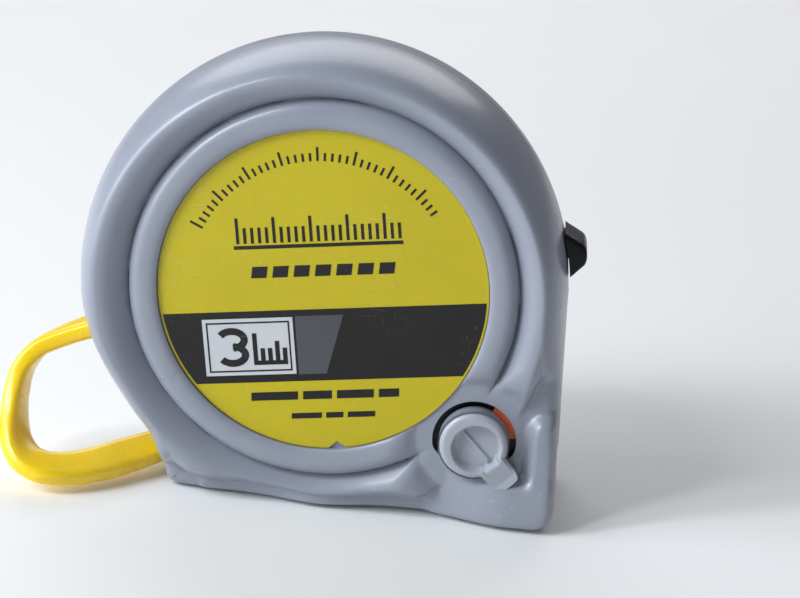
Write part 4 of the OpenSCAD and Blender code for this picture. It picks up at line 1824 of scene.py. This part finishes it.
@dataclass
class EndHook:
    """Bent end hook: a flange that is riveted under the blade and a plate with a slot."""

    thick: float = 0.5 * MM
    plate_thick: float = 0.98 * MM
    edge: float = 0.15 * MM
    bend_x: float = 1.7 * MM
    bend_shift: float = 0.2 * MM
    bend_r: float = 1.0 * MM
    plate_top: float = 1.9 * MM
    plate_from: float = 2.0 * MM
    flange_wide: tuple[float, float] = (0.35, 0.62)
    flange_run: float = 3.0 * MM
    foot_r: float = 1.6 * MM
    slot_z: tuple[float, float] = (2.1 * MM, 3.5 * MM)
    slot_y: float = 2.4 * MM
    crease: float = 40.0

    def build(self) -> bpy.types.Object:
        """Make the hook and join it to its body.

        Returns:
            The piece's object.
        """
        low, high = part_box("end_hook")
        path = [(low.x, high.z - self.thick / 2), (mix(low.x, high.x, 0.5), high.z - self.thick / 2),
                (high.x - self.bend_x, high.z - self.thick / 2)]
        bend = arc((high.x - self.bend_x + self.bend_shift, high.z - self.thick / 2 - self.bend_r),
                   self.bend_r, 90.0, 0.0, 8)
        down = [(high.x - self.plate_thick / 2, z)
                for z in np.linspace(high.z - self.plate_top, low.z, 8)]
        path = np.vstack([path, bend, down])
        z = path[:, 1]
        wide = (high.y - low.y) / 2
        narrow, broad = self.flange_wide
        flange = ease((path[:, 0] - low.x) / self.flange_run)
        half = mix(wide * narrow, wide * broad, flange)
        plate = mix(wide * broad, wide, ease((high.z - z) / self.plate_from))
        half = np.where(path[:, 0] > high.x - self.plate_from, plate, half)
        short = np.clip(1.0 - (z - low.z) / self.foot_r, 0.0, 1.0)
        half = half - self.foot_r * (1.0 - np.sqrt(1.0 - short ** 2))
        path[:, 0] = np.minimum(path[:, 0], high.x - self.thick / 2)
        made = SheetStrip("hook", self.thick, edge=self.edge).build(path, half, Plane.XZ)
        foot, head = self.slot_z
        outline = box_outline((high.x - self.plate_from, high.x + MM), (low.z + foot, low.z + head))
        carve(made, [prism("slot", outline, -self.slot_y, self.slot_y)], self.crease)
        return Piece(made, Body.HOOK, Slot.BRIGHT, Look.BRIGHT, ("end_hook",)).join()


@dataclass
class Rivets:
    """The two domed rivets that hold the hook to the blade."""

    rows: int = 6
    doming: float = 0.35
    crease: float = 50.0

    def build(self) -> bpy.types.Object:
        """Make both rivets and join them to the blade.

        Returns:
            The piece's object.
        """
        low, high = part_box("hook_rivets")
        r = (high.y - low.y) / 2
        heads = []
        for n, x in enumerate((low.x + r, high.x - r)):
            rings = []
            dome = self.doming * (high.z - low.z) / 2
            levels = [(low.z + dome * (1.0 - math.cos(t)), r * max(math.sin(t), 0.08))
                      for t in np.linspace(0.08, math.pi / 2, self.rows)]
            levels += [(low.z + high.z - z, wide) for z, wide in reversed(levels)]
            for z, wide in levels:
                spot = arc((x, 0.0), wide, 0.0, 345.0, 23)
                rings.append(np.stack([spot[:, 0], spot[:, 1], np.full(24, z)], 1))
            heads.append(capped_rings(f"rivet{n}", rings, self.crease))
        return Piece(merge("rivets", heads, self.crease), Body.BLADE, Slot.STEEL, Look.STEEL,
                     ("hook_rivets",)).join()


@dataclass
class Blade:
    """The end of the lacquered tape, dressed with its printed lines."""

    node: str = "tape_blade"
    paint: Colour = (0.78, 0.60, 0.03)
    ink: Colour = (0.01, 0.01, 0.012)
    crease: float = 30.0

    def build(self) -> bpy.types.Object:
        """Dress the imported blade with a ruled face.

        Returns:
            The piece's object.
        """
        low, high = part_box(self.node)
        made = bpy.data.objects[self.node]
        FINISHES.add(Look.RULED, Ruled(self.paint, self.ink, (high.y - low.y) / 2, high.x))
        FINISHES.dress(made, Look.RULED)
        shade(made, self.crease)
        LOG.info("piece %s is dressed", made.name)
        return made


@dataclass
class CarriedOver:
    """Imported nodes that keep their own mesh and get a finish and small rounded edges."""

    looks: dict[str, Look] = field(default_factory=lambda: {
        "strap_pins": Look.STEEL, "spool_post": Look.CASE, "mouth_guide": Look.NATURAL,
        # brake_washer is black plastic; its black also darkens the gap round the knob and stands in for
        # the shade that falls there.
        "hook_bumper": Look.RUBBER, "brake_plate": Look.SPRING, "brake_washer": Look.BLACK,
        "brake_cam": Look.ORANGE, "clip_screw": Look.STEEL, "reel": Look.NATURAL,
        "reel_cover": Look.NATURAL, "return_spring": Look.SPRING, "tape_coil": Look.COIL,
        "lock_arm": Look.BLACK, "lock_spring": Look.SPRING})
    rounding: dict[str, float] = field(default_factory=lambda: {
        "brake_cam": 0.08 * MM, "brake_washer": 0.12 * MM, "clip_screw": 0.12 * MM,
        "hook_bumper": 0.25 * MM, "reel": 0.15 * MM, "reel_cover": 0.15 * MM})

    def build(self) -> None:
        """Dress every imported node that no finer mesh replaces."""
        for node, look in self.looks.items():
            made = bpy.data.objects[node]
            FINISHES.dress(made, look)
            if node in self.rounding:
                round_edges(made, self.rounding[node])
            LOG.info("piece %s is dressed in %s", node, look.value)


# ---------------------------------------------------------------- studio


@dataclass(frozen=True)
class SoftLight:
    """One soft box, aimed at a spot."""

    name: str
    place: tuple[float, float, float]
    aim: tuple[float, float, float]
    size: tuple[float, float]
    power: float
    colour: Colour = (1.0, 1.0, 1.0)

    def build(self) -> bpy.types.Object:
        """Make the light.

        Returns:
            The light.
        """
        data = bpy.data.lights.new(self.name, "AREA")
        data.shape, data.size, data.size_y = "RECTANGLE", *self.size
        data.energy, data.color = self.power, self.colour
        lamp = bpy.data.objects.new(self.name, data)
        lamp.location = self.place
        way = Vector(self.aim) - Vector(self.place)
        lamp.rotation_euler = way.to_track_quat("-Z", "Y").to_euler()
        bpy.context.scene.collection.objects.link(lamp)
        return lamp


@dataclass
class Studio:
    """Pale floor, soft boxes, surrounding light and the camera."""

    layout: Layout
    azimuth: float = 2.94
    elevation: float = 18.32
    roll: float = 4.59
    distance: float = 0.300
    shift: tuple[float, float] = (-10.38 * MM, 3.29 * MM)
    lens: float = 96.3
    sensor: float = 36.0
    floor_r: float = 0.9
    world: Colour = (0.93, 0.95, 1.0)
    world_power: float = 0.22

    def camera(self) -> bpy.types.Object:
        """Make the camera and set it as the scene's own.

        Returns:
            The camera.
        """
        az, el, roll = (math.radians(v) for v in (self.azimuth, self.elevation, self.roll))
        c = Vector((math.sin(az) * math.cos(el), -math.cos(az) * math.cos(el), math.sin(el)))
        r = Vector((math.cos(az), math.sin(az), 0.0))
        u = c.cross(r)
        right = r * math.cos(roll) + u * math.sin(roll)
        up = u * math.cos(roll) - r * math.sin(roll)
        spot = Vector((0.0, 0.0, self.layout.axis_z)) + c * self.distance
        spot -= right * self.shift[0] + up * self.shift[1]
        data = bpy.data.cameras.new("camera")
        data.lens, data.sensor_width = self.lens, self.sensor
        data.clip_start, data.clip_end = 0.01, 10.0
        made = bpy.data.objects.new("camera", data)
        turn = Matrix((right, up, c)).transposed().to_4x4()
        made.matrix_world = Matrix.Translation(spot) @ turn
        bpy.context.scene.collection.objects.link(made)
        bpy.context.scene.camera = made
        return made

    def floor(self) -> bpy.types.Object:
        """Make the plain pale floor.

        Returns:
            The floor.
        """
        rim = arc((0.0, 0.0), self.floor_r, 0.0, 354.0, 59)
        mesh = bpy.data.meshes.new("floor")
        mesh.from_pydata([(x, y, 0.0) for x, y in rim], [], [tuple(range(len(rim)))])
        made = bpy.data.objects.new("floor", mesh)
        bpy.context.scene.collection.objects.link(made)
        g = Graph("pale_floor")
        g.set(Base_Color=g.blend(g.noise(3.0, 2.0), (0.95, 0.95, 0.95), (0.97, 0.97, 0.97)),
              Roughness=g.span(g.noise(40.0), 0.3, 0.7, 0.6, 0.72))
        mesh.materials.append(g.material)
        return made

    def surround(self) -> None:
        """Set the even light from all round."""
        world = bpy.data.worlds.new("surround")
        world.use_nodes = True
        back = world.node_tree.nodes["Background"]
        back.inputs["Color"].default_value = (*self.world, 1.0)
        back.inputs["Strength"].default_value = self.world_power
        bpy.context.scene.world = world
        bpy.context.scene.view_settings.view_transform = "Standard"

    def build(self) -> None:
        """Set the whole studio up."""
        self.camera()
        self.surround()
        aim = (0.0, 0.0, 0.03)
        lights = [
            SoftLight("window_a", (-0.40, -0.22, 0.36), aim, (0.06, 0.20), 0.9, (0.88, 0.94, 1.0)),
            SoftLight("window_b", (-0.28, -0.28, 0.44), aim, (0.05, 0.18), 0.6, (0.88, 0.94, 1.0)),
            SoftLight("left", (-0.54, -0.24, 0.24), aim, (0.45, 0.45), 3.3, (0.93, 0.97, 1.0)),
            SoftLight("back", (-0.05, 0.55, 0.45), (0.0, 0.1, 0.0), (0.8, 0.4), 2.0),
        ]
        made = [light.build() for light in lights]
        self.floor()


# ---------------------------------------------------------------- whole object


class TapeMeasure:
    """The whole object, built from its sub-assemblies."""

    def __init__(self) -> None:
        """Read the layout and list the sub-assemblies."""
        self.layout = Layout.read()
        lay = self.layout
        self.parts = [CaseShell(lay, Side.FRONT), CaseShell(lay, Side.BACK), CaseScrews(),
                      FrontLabel(lay), BackLabel(lay), WristStrap(), BrakeKnob(lay),
                      ThumbLock(lay), BeltClip(), EndHook(), Rivets(), Blade(), CarriedOver()]

    def build(self) -> None:
        """Build every sub-assembly in turn."""
        for part in self.parts:
            LOG.info("building %s", type(part).__name__)
            part.build()


def main() -> None:
    """Build the object and its studio."""
    logging.basicConfig(level=logging.INFO, format="%(name)s: %(message)s")
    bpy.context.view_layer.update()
    measure = TapeMeasure()
    measure.build()
    Studio(measure.layout).build()


if __name__ == "__main__":
    main()
